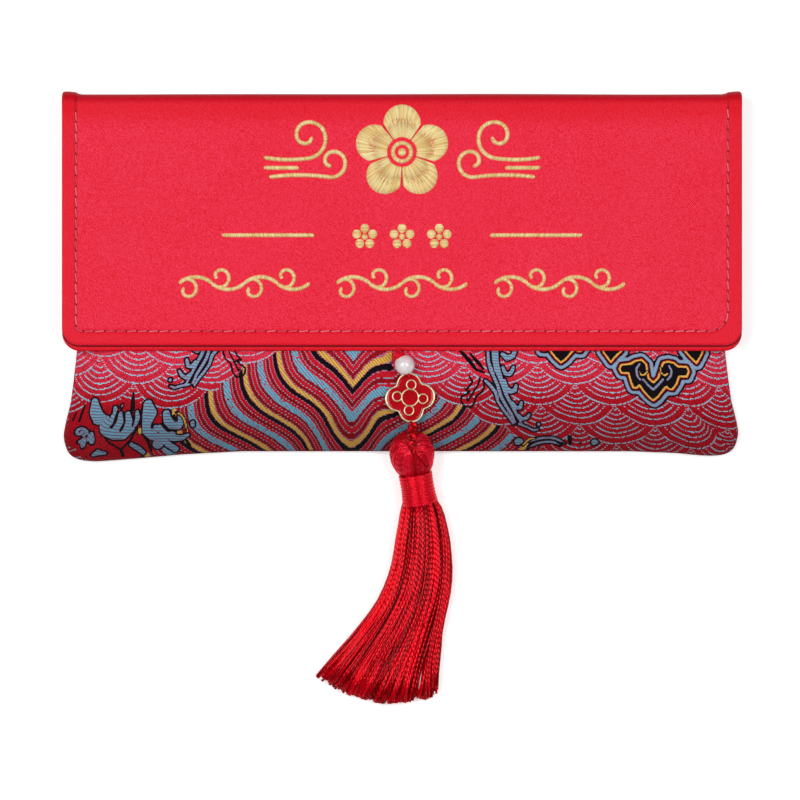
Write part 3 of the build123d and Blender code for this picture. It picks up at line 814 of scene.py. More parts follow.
def figures_over(finish, colour, u, v, streak):
    """Lays clouds, black lines, foam and gold lines over the waves, all with slightly ragged edges."""
    wobble = (streak - 0.5) * wobble_size
    cloud_depth = (finish.attribute("cloud") + wobble - cloud_border) / -cloud_depths
    cloud_ramp = cloud_depth.node("ShaderNodeValToRGB", {"stops": [
        (0.0, brocade_black), (0.085, brocade_lilac), (0.13, brocade_blue), (0.195, brocade_lilac),
        (0.24, brocade_black), (0.325, brocade_red), (0.365, brocade_gold), (0.445, brocade_black),
    ]}, {0: cloud_depth})
    colour = (cloud_depth > 0.0).paint(colour, cloud_ramp)
    colour = ((finish.attribute("ink") + wobble * 0.5) < line_half).paint(colour, brocade_black)
    foam_depth = (finish.attribute("foam") + wobble * 0.5 - foam_border) / -1.0
    foam_ramp = foam_depth.node("ShaderNodeValToRGB", {"stops": [
        (0.0, brocade_black), (0.5, brocade_lilac), (0.64, brocade_blue),
    ]}, {0: foam_depth})
    stripe = ((v + u * 0.12) % fleece_pitch) < fleece_line
    fleece = (stripe * (foam_depth > 0.64) * 0.8).paint(foam_ramp, brocade_deep)
    colour = (foam_depth > 0.0).paint(colour, fleece)
    gold_depth = finish.attribute("gilded") + wobble * 0.5
    colour = (gold_depth < gold_border).paint(colour, brocade_black)
    return (gold_depth < line_half).paint(colour, brocade_gold)


print("figures ready")

# %% Brocade finish
weft_row = 0.28
rim_place, rim_half = 11.95, 0.17
ring_place, ring_pitch, ring_half = 9.9, 1.47, 0.155
tie_pitch, tie_length, tie_step = 2.1, 0.4, 0.63
steep_from = 0.66
# Where the upper ground is painted lighter and where the pattern is painted darker towards the foot, in
# millimetres of cloth.
painted_light_from, painted_light_to = -38.0, -23.0
painted_shade_from, painted_shade_to = -27.0, -52.0
rope_pitch = 0.95
# The weave's darker threads and the painted shade at the foot both multiply by this colour.
weave_and_painted_shade_colour = (0.4, 0.36, 0.36, 1)


def brocade_finish():
    """The pouch's cloth: ground, wave scales, standing water and figures, woven in rows, with painted light
    on the upper ground and painted shade towards the foot.
    """
    finish = Finish("brocade", {"Specular IOR Level": 0.08})
    u, v, _ = finish.cloth("cloth").split()
    number = (v / weft_row).math("FLOOR")
    row = (number + 0.5) * weft_row
    float_shape = 1.0 - abs(v - row) * (2.0 / weft_row)
    every_other = (number % 2.0) < 0.5
    tied = ((u + number * tie_step) % tie_pitch) < tie_length
    streak = u.node("ShaderNodeCombineXYZ", {}, {0: u * 1.3, 1: row * 7.0}).noise(1.0)

    reach, steep, scales = wave_scales(u, row)
    from_ring = abs((ring_place + ring_pitch / 2 - reach) % ring_pitch - ring_pitch / 2)
    rings = (from_ring < ring_half) * (reach < ring_place + 0.3) * (reach > 0.6)
    rim = abs(reach - rim_place) < rim_half
    line = rings.math("MAXIMUM", rim) * scales * (1.0 - tied)
    line = line * every_other.math("MAXIMUM", steep < steep_from)

    stripes, kind = standing_water(u, row)
    dots = (kind > 0.25) * (kind < 0.7) * every_other
    ragged = (kind > 0.7) * (kind < 0.9) * (streak > 0.4)
    floats = dots.math("MAXIMUM", ragged).math("MAXIMUM", kind > 0.9)

    grain = finish.place().noise(2.8, 3.0)
    # Painted light: the ground turns lighter towards the top of the pouch.
    ground_with_painted_light = v.fade(painted_light_from, painted_light_to).paint(brocade_red, brocade_painted_light)
    ground = (grain * 0.9 + float_shape * 0.15).fade(0.36, 0.56).paint(brocade_deep, ground_with_painted_light)
    banded = (grain.fade(0.35, 0.75) * 0.35).paint(stripes, ground)
    striped = (kind < 0.25).paint(floats.paint(ground, stripes), banded)
    colour = scales.paint(striped, line.paint(ground, brocade_line))
    bare_u, bare_v = (u - bare_patch[0]) / bare_patch[2], (v - bare_patch[1]) / bare_patch[3]
    colour = ((bare_u * bare_u + bare_v * bare_v) < 1.0).paint(colour, ground)
    colour = figures_over(finish, colour, u, v, streak)

    rope = ((u + v * 0.8) * (math.tau / rope_pitch)).math("SINE") * 0.3
    woven = float_shape * 0.34 + grain * 0.7 + rope * (kind > 0.7) * (1.0 - scales) + 0.08
    # Painted shade: the whole pattern darkens towards the foot of the pouch.
    under = v.fade(painted_shade_from, painted_shade_to) * 0.85
    shade = {0: 1.0, 6: colour, 7: weave_and_painted_shade_colour}
    weave_and_painted_shade = colour.node("ShaderNodeMix", {"data_type": "RGBA", "blend_type": "MULTIPLY"}, shade, output=2)
    finish.feed("Base Color", (woven.fade(0.3, 0.66) * (1.0 - under)).paint(weave_and_painted_shade, colour))
    finish.feed("Roughness", 0.62 - float_shape * 0.14)
    finish.bump(float_shape + grain * 0.5, 0.05 * mm)
    return finish


brocade = brocade_finish()
print("brocade:", len(brocade.tree.nodes), "nodes")

# %% [markdown]
# The linings and the flap are satin. Its long floats make a fine slanting twill and a soft gleam, so the
# finish is a slanted wave broken by noise. Two numbers per point say how far it is from the line of top
# stitching and how far along it, which is enough to paint shade into the needle holes and the groove.
# The satin also gets painted shade towards the top and over the fold, and the lining a painted shadow
# along the flap's edge.

# %% Satin finish
stitch_pitch = 3.0
twill_pitch = 0.66
# Painted shade towards the top of the flap and over the fold, in millimetres of cloth.
painted_top_shade_from, painted_top_shade_to = 39.0, 46.0
painted_fold_shade_start, painted_fold_shade_end = 46.2, 49.8
# Painted shade in the needle holes and along the stitch groove.
hole_and_groove_shade_red = dye(124, 0, 12)
# Painted shade over the fold.
painted_fold_shade_red = dye(140, 0, 14)
# Painted shadow on the lining along the flap's edge.
painted_edge_shadow_red = dye(96, 0, 8)


def satin_finish(name, dark, light, stitched):
    """Satin with a slanting twill. The stitched kind has painted shade in its needle holes and groove, and
    painted shade towards the top and over the fold; the other has a painted shadow along the flap's edge."""
    finish = Finish(name, {"Specular IOR Level": 0.1})
    u, v, _ = finish.cloth("cloth").split()
    place = finish.place()
    grain = place.noise(2.6, 3.0)
    twill = ((u + v) * (math.tau / twill_pitch) + grain * 6.0).math("SINE") * 0.5 + 0.5
    drift = place.noise(0.05, 1.0)
    tone = (twill * 0.4 + grain * 1.1 + drift * 0.1).fade(0.69, 0.89)
    if stitched:
        off, run = finish.attribute("seam_off"), finish.attribute("seam_run")
        # The hem outside the stitching is a deeper tone, and painted shade darkens the satin towards the top.
        tone = tone * (1.0 - (off < -0.2) * 0.5) * (1.0 - v.fade(painted_top_shade_from, painted_top_shade_to) * 0.6)
        from_hole = (run + stitch_pitch / 2) % stitch_pitch - stitch_pitch / 2
        # Painted shade in the needle holes and along the stitch groove.
        hole = (from_hole * from_hole + off * off).math("SQRT").fade(0.5, 0.2) * 0.85
        painted_groove_shade = abs(off).fade(0.6, 0.1) * 0.4
        colour = hole.math("MAXIMUM", painted_groove_shade).paint(tone.paint(dark, light), hole_and_groove_shade_red)
        # Painted shade over the fold.
        colour = (v.fade(painted_fold_shade_start, painted_fold_shade_end) * 0.55).paint(colour, painted_fold_shade_red)
    else:
        # Painted shadow along the flap's edge.
        painted_edge_shadow = abs(finish.attribute("edge_off") - 0.05).fade(0.45, 0.2) * 0.9
        colour = painted_edge_shadow.paint(tone.paint(dark, light), painted_edge_shadow_red)
    finish.feed("Base Color", colour)
    finish.feed("Roughness", 0.52 - twill * 0.1)
    finish.bump(twill * 0.6 + grain * 0.6, 0.03 * mm)
    return finish


satin = satin_finish("satin", dye(226, 0, 20), dye(246, 56, 88), True)
lining = satin_finish("lining", dye(202, 2, 22), dye(234, 24, 48), False)
print("satin:", len(satin.tree.nodes), "nodes")

# %% [markdown]
# The pouch is a flat pillow with a softly rounded shoulder. Its outline follows the photograph: the sides
# draw in at the middle and the bottom corners hang a little. The real padding pushes the brocade up between
# the seams, so a coarse copy of the front is blown up by cloth simulation, and its swell is then carried to
# the fine panel.

# %% Pillow shape
shoulder_ring = 20.0 * mm
pouch_half_width = 94.0 * mm
corner_drop = 1.8 * mm
corner_square = 6.5
seam_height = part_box("back_panel")[1].z
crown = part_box("front_panel")[1].z
pouch_foot = -50.0 * mm - corner_drop
side_places = np.array([-53, -44.5, -41, -36, -30, -22, 0, 25, 50]) * mm
side_reach = np.array([95.2, 95.2, 94.4, 93.1, 92.2, 91.3, 91.0, 91.6, 93.4]) * mm
foot_places = np.array([-94, -86, -73, -62, -45, 64, 77, 84, 94]) * mm
foot_reach = np.array([-53.1, -53.0, -52.0, -51.0, -50.1, -50.1, -50.6, -51.3, -51.9]) * mm
foot_from = -22 * mm
foot_span = 28 * mm
right_share = 0.994


def shoulder_profile(width, rise):
    """A quarter ellipse from the flat face to the seam: cloth run, way out and drop, outwards."""
    turn = np.linspace(0, math.pi / 2, 60)
    out = shoulder_ring - width + width * np.sin(turn)
    drop = rise * (1 - np.cos(turn))
    run = run_along(np.stack([out, drop], 1)) + shoulder_ring - width
    return np.concatenate([[0], run]), np.concatenate([[0], out]), np.concatenate([[0], drop])


def cloth_reach(run):
    """Half the cloth's width and the height of its foot, for a shoulder with that run of cloth."""
    return pouch_half_width - shoulder_ring + run, pouch_foot + shoulder_ring - run


def pillow(u, v, width, rise, side):
    """Where each cloth point lies on the pillow, and how far it is from the seam. Side is 1 for the front
    and -1 for the back."""
    run, out, drop = shoulder_profile(width, rise)
    reach, foot = cloth_reach(run[-1])
    ring, (foot_x, foot_y), (way_x, way_y) = round_corner(u, v, reach, foot, run[-1], corner_square)
    plan, fall = np.interp(ring, run, out), np.interp(ring, run, drop)
    x, y = foot_x + way_x * plan, foot_y + way_y * plan
    x = x * np.interp(y, side_places, side_reach) / pouch_half_width * np.where(x > 0, right_share, 1.0)
    sag = np.interp(x, foot_places, foot_reach) - pouch_foot
    y = y + sag * np.clip((foot_from - y) / foot_span, 0, 1)
    level = crown if side > 0 else seam_height - rise
    return np.stack([x, y, level - side * fall], 1), run[-1] - ring


print("pillow of", round(crown / mm, 1), "mm")

# %% Padding swell
under_flap = -19.0 * mm
seam_held = 1.2 * mm
swell_cap = 0.6 * mm
swell_steps = 20
swell_settings = {
    "quality": 6, "mass": 0.2, "tension_stiffness": 12, "compression_stiffness": 12, "bending_stiffness": 0.2,
    "shrink_min": -0.012, "use_pressure": True, "uniform_pressure_force": 1.5, "vertex_group_mass": "held",
}


def padding_swell(width, rise, across, along):
    """The swell of the padding: a coarse copy of the panel, held at its seam, is blown up by cloth
    simulation. Gives how far its points move, on a grid of those places."""
    piece, u, v = cloth_grid("swell", across, along)
    rest, to_seam = pillow(u, v, width, rise, 1)
    lay(piece, *rest.T)
    held = piece.vertex_groups.new(name="held")
    held.add([int(k) for k in np.nonzero((to_seam < seam_held) | (v > under_flap))[0]], 1.0, "REPLACE")
    cloth = piece.modifiers.new("cloth", "CLOTH")
    for name, value in swell_settings.items():
        setattr(cloth.settings, name, value)
    cloth.settings.effector_weights.gravity = 0
    for number in range(1, swell_steps + 1):
        bpy.context.scene.frame_set(number)
    swollen = piece.evaluated_get(bpy.context.evaluated_depsgraph_get()).data
    moved = np.empty(len(u) * 3)
    swollen.vertices.foreach_get("co", moved)
    moved = moved.reshape(-1, 3) - rest
    length = np.linalg.norm(moved, axis=1, keepdims=True)
    moved = moved * np.minimum(1, swell_cap / np.maximum(length, 1e-9))
    bpy.context.scene.frame_set(1)
    bpy.data.objects.remove(piece)
    print("padding swell, most in mm:", round(float(length.max()) / mm, 2))
    return moved.reshape(len(along), len(across), 3)


def carry_over(moved, coarse_u, coarse_v, u, v):
    """The coarse grid's moves at finer places, blended between its four nearest points."""
    part_u = np.interp(u, coarse_u, np.arange(len(coarse_u)))
    part_v = np.interp(v, coarse_v, np.arange(len(coarse_v)))
    left = np.minimum(part_u.astype(int), len(coarse_u) - 2)
    low = np.minimum(part_v.astype(int), len(coarse_v) - 2)
    share_u, share_v = (part_u - left)[:, None], (part_v - low)[:, None]
    lower = moved[low, left] * (1 - share_u) + moved[low, left + 1] * share_u
    upper = moved[low + 1, left] * (1 - share_u) + moved[low + 1, left + 1] * share_u
    return lower * (1 - share_v) + upper * share_v


print("padding helpers ready")

# %% Pouch panels
wall = 1.4 * mm
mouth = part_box("front_panel")[1].y
back_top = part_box("back_panel")[1].y
front_shoulder, front_spacing = 19 * mm, 0.44 * mm
back_shoulder, back_spacing = 5 * mm, 0.8 * mm
hidden_spacing = 2.2 * mm
swell_spacing = 2.6 * mm
pucker_reach = 9 * mm
pucker_size, pucker_drop = 0.12 * mm, 0.14 * mm


def pouch_panel(name, width, rise, top, side, spacing):
    """One panel, laid over the pillow and puckered along its seam."""
    reach, foot = cloth_reach(shoulder_profile(width, rise)[0][-1])
    across = spaced((-reach, reach, spacing))
    along = spaced((foot, under_flap, spacing), (under_flap, top, hidden_spacing))
    piece, u, v = cloth_grid(name, across, along)
    place, to_seam = pillow(u, v, width, rise, side)
    edge = np.clip(1 - to_seam / pucker_reach, 0, 1) ** 2
    pucker = np.sin(u / (2.3 * mm)) * np.sin(u / (9.1 * mm) + 1.0)
    pucker = pucker + np.sin(v / (2.1 * mm)) * np.sin(v / (7.7 * mm))
    place[:, 2] += side * (pucker * edge * pucker_size - pucker_drop)
    if side > 0:
        coarse_u, coarse_v = spaced((-reach, reach, swell_spacing)), spaced((foot, top, swell_spacing))
        moved = padding_swell(width, rise, coarse_u, coarse_v)
        place += carry_over(moved, coarse_u, coarse_v, u, v)
    if side < 0:
        place[:, 2] = np.maximum(place[:, 2], 0)
    lay(piece, *place.T)
    draw_figures(piece, u, v)
    if side < 0:
        bpy.ops.object.mode_set(mode="EDIT")
        bpy.ops.mesh.select_all(action="SELECT")
        bpy.ops.mesh.flip_normals()
        bpy.ops.object.mode_set(mode="OBJECT")
    return piece


pouch_front = pouch_panel("pouch_front", front_shoulder, crown - seam_height, mouth, side=1,
                          spacing=front_spacing)
dress(pouch_front, brocade, None, "brocade", "front_panel", "front_padding", "front_lining")
thicken(pouch_front, wall, lining)
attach(pouch_front, "pouch")
pouch_back = pouch_panel("pouch_back", back_shoulder, seam_height, back_top, side=-1, spacing=back_spacing)
dress(pouch_back, brocade, None, "brocade", "back_panel", "back_padding", "back_lining")
thicken(pouch_back, wall, lining)
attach(pouch_back, "pouch")

# %% [markdown]
# The flap's satin is one cloth. It is turned round a board at three sides, top-stitched, and runs over the
# fold and down the back of the spine. The path over the fold is a quarter ellipse, and the hem is a half
# circle round the edge, so one mapping from the flat cut to the object makes fold, hem and corners
# together.

# %% Path over the fold
fold = Vector(joints["flap_fold"]["pos_m"])
path_start = flap_low.y - 20 * mm


def over_fold(v, top, outer, run_in, drop_in, foot):
    """The cloth's path over the fold: level, a quarter ellipse, then straight down to foot. Gives Y, Z and
    the outward way for each run of cloth v, which is Y on the level stretch, and the path's end."""
    turn = np.linspace(0, math.pi / 2, 80)
    y = np.concatenate([[path_start], outer - run_in + run_in * np.sin(turn), [outer]])
    z = np.concatenate([[top], top - drop_in + drop_in * np.cos(turn), [foot]])
    run = run_along(np.stack([y, z], 1)) + path_start
    lean = np.interp(v, run, np.concatenate([[0], turn, [math.pi / 2]]))
    return np.interp(v, run, y), np.interp(v, run, z), np.sin(lean), np.cos(lean), run[-1]


print("the fold is at", [round(value / mm, 1) for value in fold], "mm")

# %% Line of top stitching
flap_half = flap_high.x
hem = 4.0 * mm
wide_turn = 5.3 * mm
tight_turn = 0.9 * mm


def stitch_path(step):
    """The line of top stitching: down the left side, along the hem with one tight and one wide corner, and
    up. Gives its points, that far apart, and how far along each is."""
    x, low, high = flap_half - hem, flap_low.y + hem, fold.y - 2.0 * mm
    turn = np.linspace(-math.pi / 2, 0, 12)
    bend = np.stack([np.cos(turn) - 1, np.sin(turn) + 1], 1) * wide_turn + (x, low)
    corners = np.concatenate([[(-x, high), (-x, low + tight_turn), (tight_turn - x, low)], bend, [(x, high)]])
    run = run_along(corners)
    places = np.arange(0, run[-1], step)
    return np.stack([np.interp(places, run, corners[:, k]) for k in (0, 1)], 1), places


print("stitching starts", hem / mm, "mm from the edge")

# %% [markdown]
# Satin over a board is never quite flat. It waves a little, the stitches pull a groove into it, the hem
# outside them is fuller, and the pendant has pressed a dent behind itself. A bump map would not show at the
# edge, so each of these is a small rise or fall of the cloth itself.

# %% Relief of the flap
flap_corner = 5.0 * mm
pendant_x = sum(corner.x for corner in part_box("pearl_bead")) / 2
wave_size = 0.05 * mm
hem_rise = 0.16 * mm
groove_depth, groove_width = 0.24 * mm, 0.5 * mm
seam_rise, seam_from, seam_width = 0.62 * mm, 5.4 * mm, 6.2 * mm
fold_from = 44 * mm
dent_depth, dent_place = 0.24 * mm, 1.8 * mm
dent_width, dent_length = 4.2 * mm, 4.6 * mm


def flap_wave(x, y):
    """The satin's slow rise and fall over the board."""
    wave = np.sin(x / (21 * mm) + y / (33 * mm)) + np.sin(x / (13 * mm) - y / (24 * mm) + 1.3)
    return wave_size * wave


def stitched_relief(x, run, low, shown):
    """How far the cover rises: its slow wave, a full hem, the groove of the stitching, a seam at the fold's
    two ends and a dent behind the pendant. With it go the marks by which the finish paints shade into the
    needle holes and the groove."""
    path, places = stitch_path(0.25 * mm)
    plan = np.stack([x, run], 1)
    near = [np.argmin(np.sum((path - point) ** 2, axis=1)) for point in plan]
    off = np.linalg.norm(plan - path[near], axis=1)
    bend_x, bend_y = x - flap_half + hem + wide_turn, low + hem + wide_turn - run
    past_bend = (bend_x > 0) & (bend_y > 0) & (np.hypot(bend_x, bend_y) > wide_turn)
    in_hem = np.where((np.abs(x) > flap_half - hem) | (run < low + hem) | past_bend, 1.0, 0.0)
    full = hem_rise * in_hem * np.clip(off / (1.2 * mm), 0, 1)
    groove = groove_depth * np.exp(-(off / groove_width) ** 2)
    seam = np.sin(np.clip((np.abs(x) - flap_half + seam_from) / seam_width, 0, 1) * math.pi * 0.75)
    seam = seam_rise * seam * np.clip((run - fold_from) / (4 * mm), 0, 1)
    dent = np.exp(-((x - pendant_x) / dent_width) ** 4 - ((run - low - dent_place) / dent_length) ** 4)
    lift = flap_wave(x, run) * (1 - in_hem) + shown * (full - groove + seam) - dent_depth * dent
    off = np.where(shown, off * (1 - 2 * in_hem), 9 * mm)
    return lift, {"seam_off": off / mm, "seam_run": places[near] / mm}


def plain_relief(x, run):
    """The lining lies flat. Its mark is how far a point lies past the flap's edge, for the painted shadow
    there.
    """
    past_x = np.maximum(np.abs(x) - flap_half + flap_corner, 0)
    past_y = np.maximum(flap_low.y + flap_corner - run, 0)
    return np.zeros(len(x)), {"edge_off": (np.hypot(past_x, past_y) - flap_corner) / mm}


print("the pendant dents the lip at", round(pendant_x / mm, 1), "mm")

# %% Flap cover and lining
spine_foot = 1.3 * mm
lining_low, lining_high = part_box("flap_lining")
fine, coarse, level_rows, fine_border = 0.4 * mm, 1.4 * mm, 1.3 * mm, 12 * mm


def flap_layer(name, low, top, roll, turn_under, outer, run_in, drop_in, foot, stitched):
    """A layer of the flap: cloth turned round its edge with that roll, and over the fold to the spine."""
    flat = flap_corner - roll
    border = flat + math.pi * roll + turn_under
    reach = flap_half - flap_corner + border
    base = low + flap_corner
    end = over_fold(np.zeros(1), top, outer, run_in, drop_in, foot)[4]
    inner, hem_end = flap_half - fine_border, low + fine_border
    across = spaced((-reach, -inner, fine), (-inner, inner, coarse), (inner, reach, fine))
    along = spaced((base - border, hem_end, fine), (hem_end, fold_from, level_rows), (fold_from, end, fine))
    piece, u, v = cloth_grid(name, across, along)
    ring, (foot_x, foot_y), (way_x, way_y) = round_corner(u, v, reach, base - border, border, 2)
    turn = np.clip((ring - flat) / roll, 0, math.pi)
    under = np.maximum(ring - flat - math.pi * roll, 0)
    plan = np.minimum(ring, flat) + roll * np.sin(turn) - under
    depth = roll * (1 - np.cos(turn))
    x, run = foot_x + way_x * plan, foot_y + way_y * plan
    y, z, lean_y, lean_z, _ = over_fold(run, top, outer, run_in, drop_in, foot)
    lift, marks = stitched_relief(x, run, low, turn < math.pi / 2) if stitched else plain_relief(x, run)
    for label, values in marks.items():
        mark(piece.data, label, values)
    lay(piece, x, y + lean_y * (lift - depth), z + lean_z * (lift - depth))
    return piece


flap_cover = flap_layer("flap_cover", flap_low.y, flap_high.z, roll=0.6 * mm, turn_under=2.0 * mm,
                        outer=fold.y - 0.1 * mm, run_in=2.8 * mm, drop_in=3.2 * mm, foot=spine_foot,
                        stitched=True)
dress(flap_cover, satin, None, "satin", "flap_face")
thicken(flap_cover, 0.3 * mm)
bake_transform(flap_cover)

flap_lining = flap_layer("flap_lining_sheet", lining_low.y, lining_high.z - 0.2 * mm, roll=0.34 * mm,
                         turn_under=1.0 * mm, outer=fold.y - 1.42 * mm, run_in=1.0 * mm, drop_in=0.9 * mm,
                         foot=spine_foot, stitched=False)
dress(flap_lining, lining, None, "satin_lining", "flap_lining")
thicken(flap_lining, 0.25 * mm)
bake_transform(flap_lining)

# %% [markdown]
# The spine is the strip of cloth behind the fold, between the flap and the back of the pouch. It is a plain
# sheet with one bend, so it is a grid that is wrapped along a drawn profile.

# %% Spine
back_fold = Vector(joints["back_fold"]["pos_m"])
spine_head = 8.0 * mm
spine_level = 0.82 * mm
spine_inset = 0.42 * mm
spine_bend = 0.68 * mm


def spine_cloth(name):
    """The cloth inside the spine: from its head down round the back fold to the pouch."""
    outer = back_fold.y - spine_inset
    turn = np.linspace(0, math.pi / 2, 30)
    y = np.concatenate([[outer], outer - spine_bend + spine_bend * np.cos(turn), [back_top]])
    z = np.concatenate([[spine_head], spine_bend - spine_bend * np.sin(turn) + spine_level, [spine_level]])
    run = run_along(np.stack([y, z], 1))
    piece, u, v = cloth_grid(name, spaced((-flap_half, flap_half, coarse)), spaced((0, run[-1], 0.25 * mm)))
    lay(piece, u, np.interp(v, run, y), np.interp(v, run, z))
    return piece


spine_cover = spine_cloth("spine_cover")
dress(spine_cover, lining, None, "satin", "spine_face", "spine_lining")
thicken(spine_cover, 0.8 * mm)
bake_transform(spine_cover)

# %% [markdown]
# Top stitching is a thread that comes up through one hole and goes down through the next. A dashed line in
# the finish would stay flat, so each stitch is a short thread that rises from its hole, lies in the groove
# and dips again. The same stitches show on the lining's side.

# %% Top stitching
stitch_radius = 0.17 * mm
stitch_slant = 0.3 * mm
stitch_length = stitch_pitch * mm
path, places = stitch_path(0.1 * mm)
starts = np.arange(stitch_length, places[-1] - stitch_length, stitch_length)
shares = np.array([0.06, 0.14, 0.3, 0.5, 0.7, 0.86, 0.94])
rises = np.array([-0.45, -0.05, 0.16, 0.2, 0.16, -0.05, -0.45]) * mm


def stitches(level, way):
    """One thread per stitch at that level. Way is 1 for the face and -1 for the lining's side."""
    lines = []
    for start in starts:
        run = start + shares * stitch_length
        x, y = (np.interp(run, places, path[:, k]) for k in (0, 1))
        long = math.hypot(x[-1] - x[0], y[-1] - y[0])
        askew = (shares - 0.5) * stitch_slant / long
        x, y = x - askew * (y[-1] - y[0]), y + askew * (x[-1] - x[0])
        lines.append(np.stack([x, y, level + way * rises], 1))
    return lines


both_sides = stitches(flap_high.z - 0.12 * mm, 1) + stitches(lining_low.z + 0.2 * mm, -1)
top_stitch = yarn("top_stitching", both_sides, stitch_radius)
dress(top_stitch, pink_thread, "flap", "satin")

# %% [markdown]
# The gold embroidery is satin stitch: threads laid side by side straight across each stroke, over a padded
# middle, so a stroke is round on top and catches light as a row of ribs. Petals are filled from the heart
# outwards in two uneven rows. The designs are a blossom, a pair of clouds, sprigs and running vines.

# %% Embroidery helpers
thread_pitch = 0.27 * mm
thread_radius = 0.165 * mm
stroke_width = 1.1 * mm
thread_slant = math.radians(72)
thread_shares = np.array([0, 0.1, 0.3, 0.5, 0.7, 0.9, 1])
thread_rise = np.array([-0.25, 0.1, 0.36, 0.44, 0.36, 0.1, -0.25]) * mm


def flap_threads(starts, ends):
    """Threads from start to end points on the flap, rounded over the middle."""
    starts, ends = np.asarray(starts), np.asarray(ends)
    plan = starts[:, None] + (ends - starts)[:, None] * thread_shares[None, :, None]
    rise = np.clip(np.linalg.norm(ends - starts, axis=1) / stroke_width, 0.45, 1.0)
    level = flap_high.z + flap_wave(plan[..., 0], plan[..., 1]) + thread_rise * rise[:, None]
    return np.concatenate([plan, level[..., None]], 2)


def satin_stroke(points, headings, width):
    """Threads across a stroke, a little slanted, narrowing at both its ends."""
    run = run_along(points)
    places = np.arange(0.1 * mm, run[-1], thread_pitch)
    middle = np.stack([np.interp(places, run, points[:, k]) for k in (0, 1)], 1)
    way = np.interp(places, run, headings) + thread_slant
    end = np.minimum(places, run[-1] - places) / (0.6 * width)
    half = width / 2 * np.sqrt(np.clip(1 - (1 - np.clip(end, 0.08, 1)) ** 2, 0, 1))
    half = half * draw.uniform(0.93, 1.07, len(half))
    reach = np.stack([np.cos(way), np.sin(way)], 1) * half[:, None]
    return flap_threads(middle - reach, middle + reach)


def disc(centre, radius):
    """A filled dot of level threads."""
    rows = np.arange(-radius + 0.1 * mm, radius, thread_pitch)
    half = np.sqrt(radius ** 2 - rows ** 2)
    middle = np.stack([np.full(len(rows), centre[0]), centre[1] + rows], 1)
    reach = np.stack([half, np.zeros(len(rows))], 1)
    return flap_threads(middle - reach, middle + reach)


def embroider(name, lines, node):
    """Lays all the threads of one design as gold thread."""
    piece = yarn(name, np.concatenate(lines), thread_radius, sides=5)
    dress(piece, gold_thread, "flap", "gold_thread", node)


print("embroidery helpers ready")

# %% Embroidered blossom
blossom_centre = np.array([0.0, 33.5]) * mm
petal_radius = 5.2 * mm
petal_reach = 8.2 * mm
petal_gap = 0.4 * mm
heart_radius = 4.0 * mm
ring_middle = 2.55 * mm
fifths = [math.radians(90 + 72 * k) for k in range(5)]


def petal(centre, turn, reach, radius, inner):
    """Radial threads of one round petal, in two rows that interlock."""
    half_turn = min(math.pi / 5 - petal_gap / reach, math.asin(min(1, radius / reach)))
    turns = np.arange(-half_turn, half_turn, thread_pitch / (reach + radius * 0.6))
    spread = np.sqrt(np.maximum(radius ** 2 - (reach * np.sin(turns)) ** 2, 0))
    far = reach * np.cos(turns) + spread
    near = np.maximum(inner, reach * np.cos(turns) - spread)
    way = np.stack([np.cos(turn + turns), np.sin(turn + turns)], 1)
    joint = near + (far - near) * draw.uniform(0.42, 0.62, len(turns))
    inner_row = flap_threads(centre + way * near[:, None], centre + way * (joint + petal_gap)[:, None])
    outer_row = flap_threads(centre + way * joint[:, None], centre + way * far[:, None])
    return np.concatenate([inner_row[::2], outer_row])


def stitched_ring(centre, radius, width):
    """Short radial threads all round a circle."""
    turns = np.arange(0, 2 * math.pi, thread_pitch / radius)
    way = np.stack([np.cos(turns), np.sin(turns)], 1)
    return flap_threads(centre + way * (radius - width / 2), centre + way * (radius + width / 2))


lines = [petal(blossom_centre, turn, petal_reach, petal_radius, heart_radius) for turn in fifths]
lines += [stitched_ring(blossom_centre, ring_middle, stroke_width), disc(blossom_centre, 1.1 * mm)]
embroider("gold_blossom_stitch", lines, "gold_blossom")

# %% Embroidered sprigs
sprig_height = 9.9 * mm
sprig_pitch = 10.4 * mm
sprig_reach = 2.35 * mm
lines = []
for x in (-sprig_pitch, 0, sprig_pitch):
    centre = np.array([x, sprig_height])
    for turn in fifths:
        lines.append(disc(centre + sprig_reach * np.array([math.cos(turn), math.sin(turn)]), 1.25 * mm))
    lines.append(disc(centre, 0.8 * mm))
embroider("gold_sprig_stitch", lines, "gold_sprigs")

# %% Embroidered clouds and rules
cloud_size = 5.4 * mm
small_cloud_size = 3.9 * mm
large_turns = [(7.4, -18), (1, -100), (0.82, -90), (0.61, -90), (0.43, -90), (0.28, -80)]
small_turns = [(15.4, 16), (1, -105), (0.82, -90), (0.61, -90), (0.38, -90)]
rule_height = 10.3 * mm
mirror = np.array([-1, 1, 1])


def straight(start, end):
    """Points and headings along a straight stroke."""
    points = np.linspace(start, end, 40)
    heading = math.atan2(end[1] - start[1], end[0] - start[0])
    return points, np.full(len(points), heading)


cloud = np.concatenate([
    satin_stroke(*bends((38.5 * mm, 32.0 * mm), 190, cloud_size, large_turns), stroke_width),
    satin_stroke(*bends((37.0 * mm, 26.5 * mm), 172, small_cloud_size, small_turns), stroke_width),
    satin_stroke(*straight((38.5 * mm, 29.1 * mm), (28.9 * mm, 29.1 * mm)), stroke_width),
])
embroider("gold_cloud_stitch", [cloud, cloud * mirror], "gold_clouds")
rule = satin_stroke(*straight((24.6 * mm, rule_height), (50.2 * mm, rule_height)), stroke_width)
embroider("gold_rule_stitch", [rule, rule * mirror], "gold_rules")

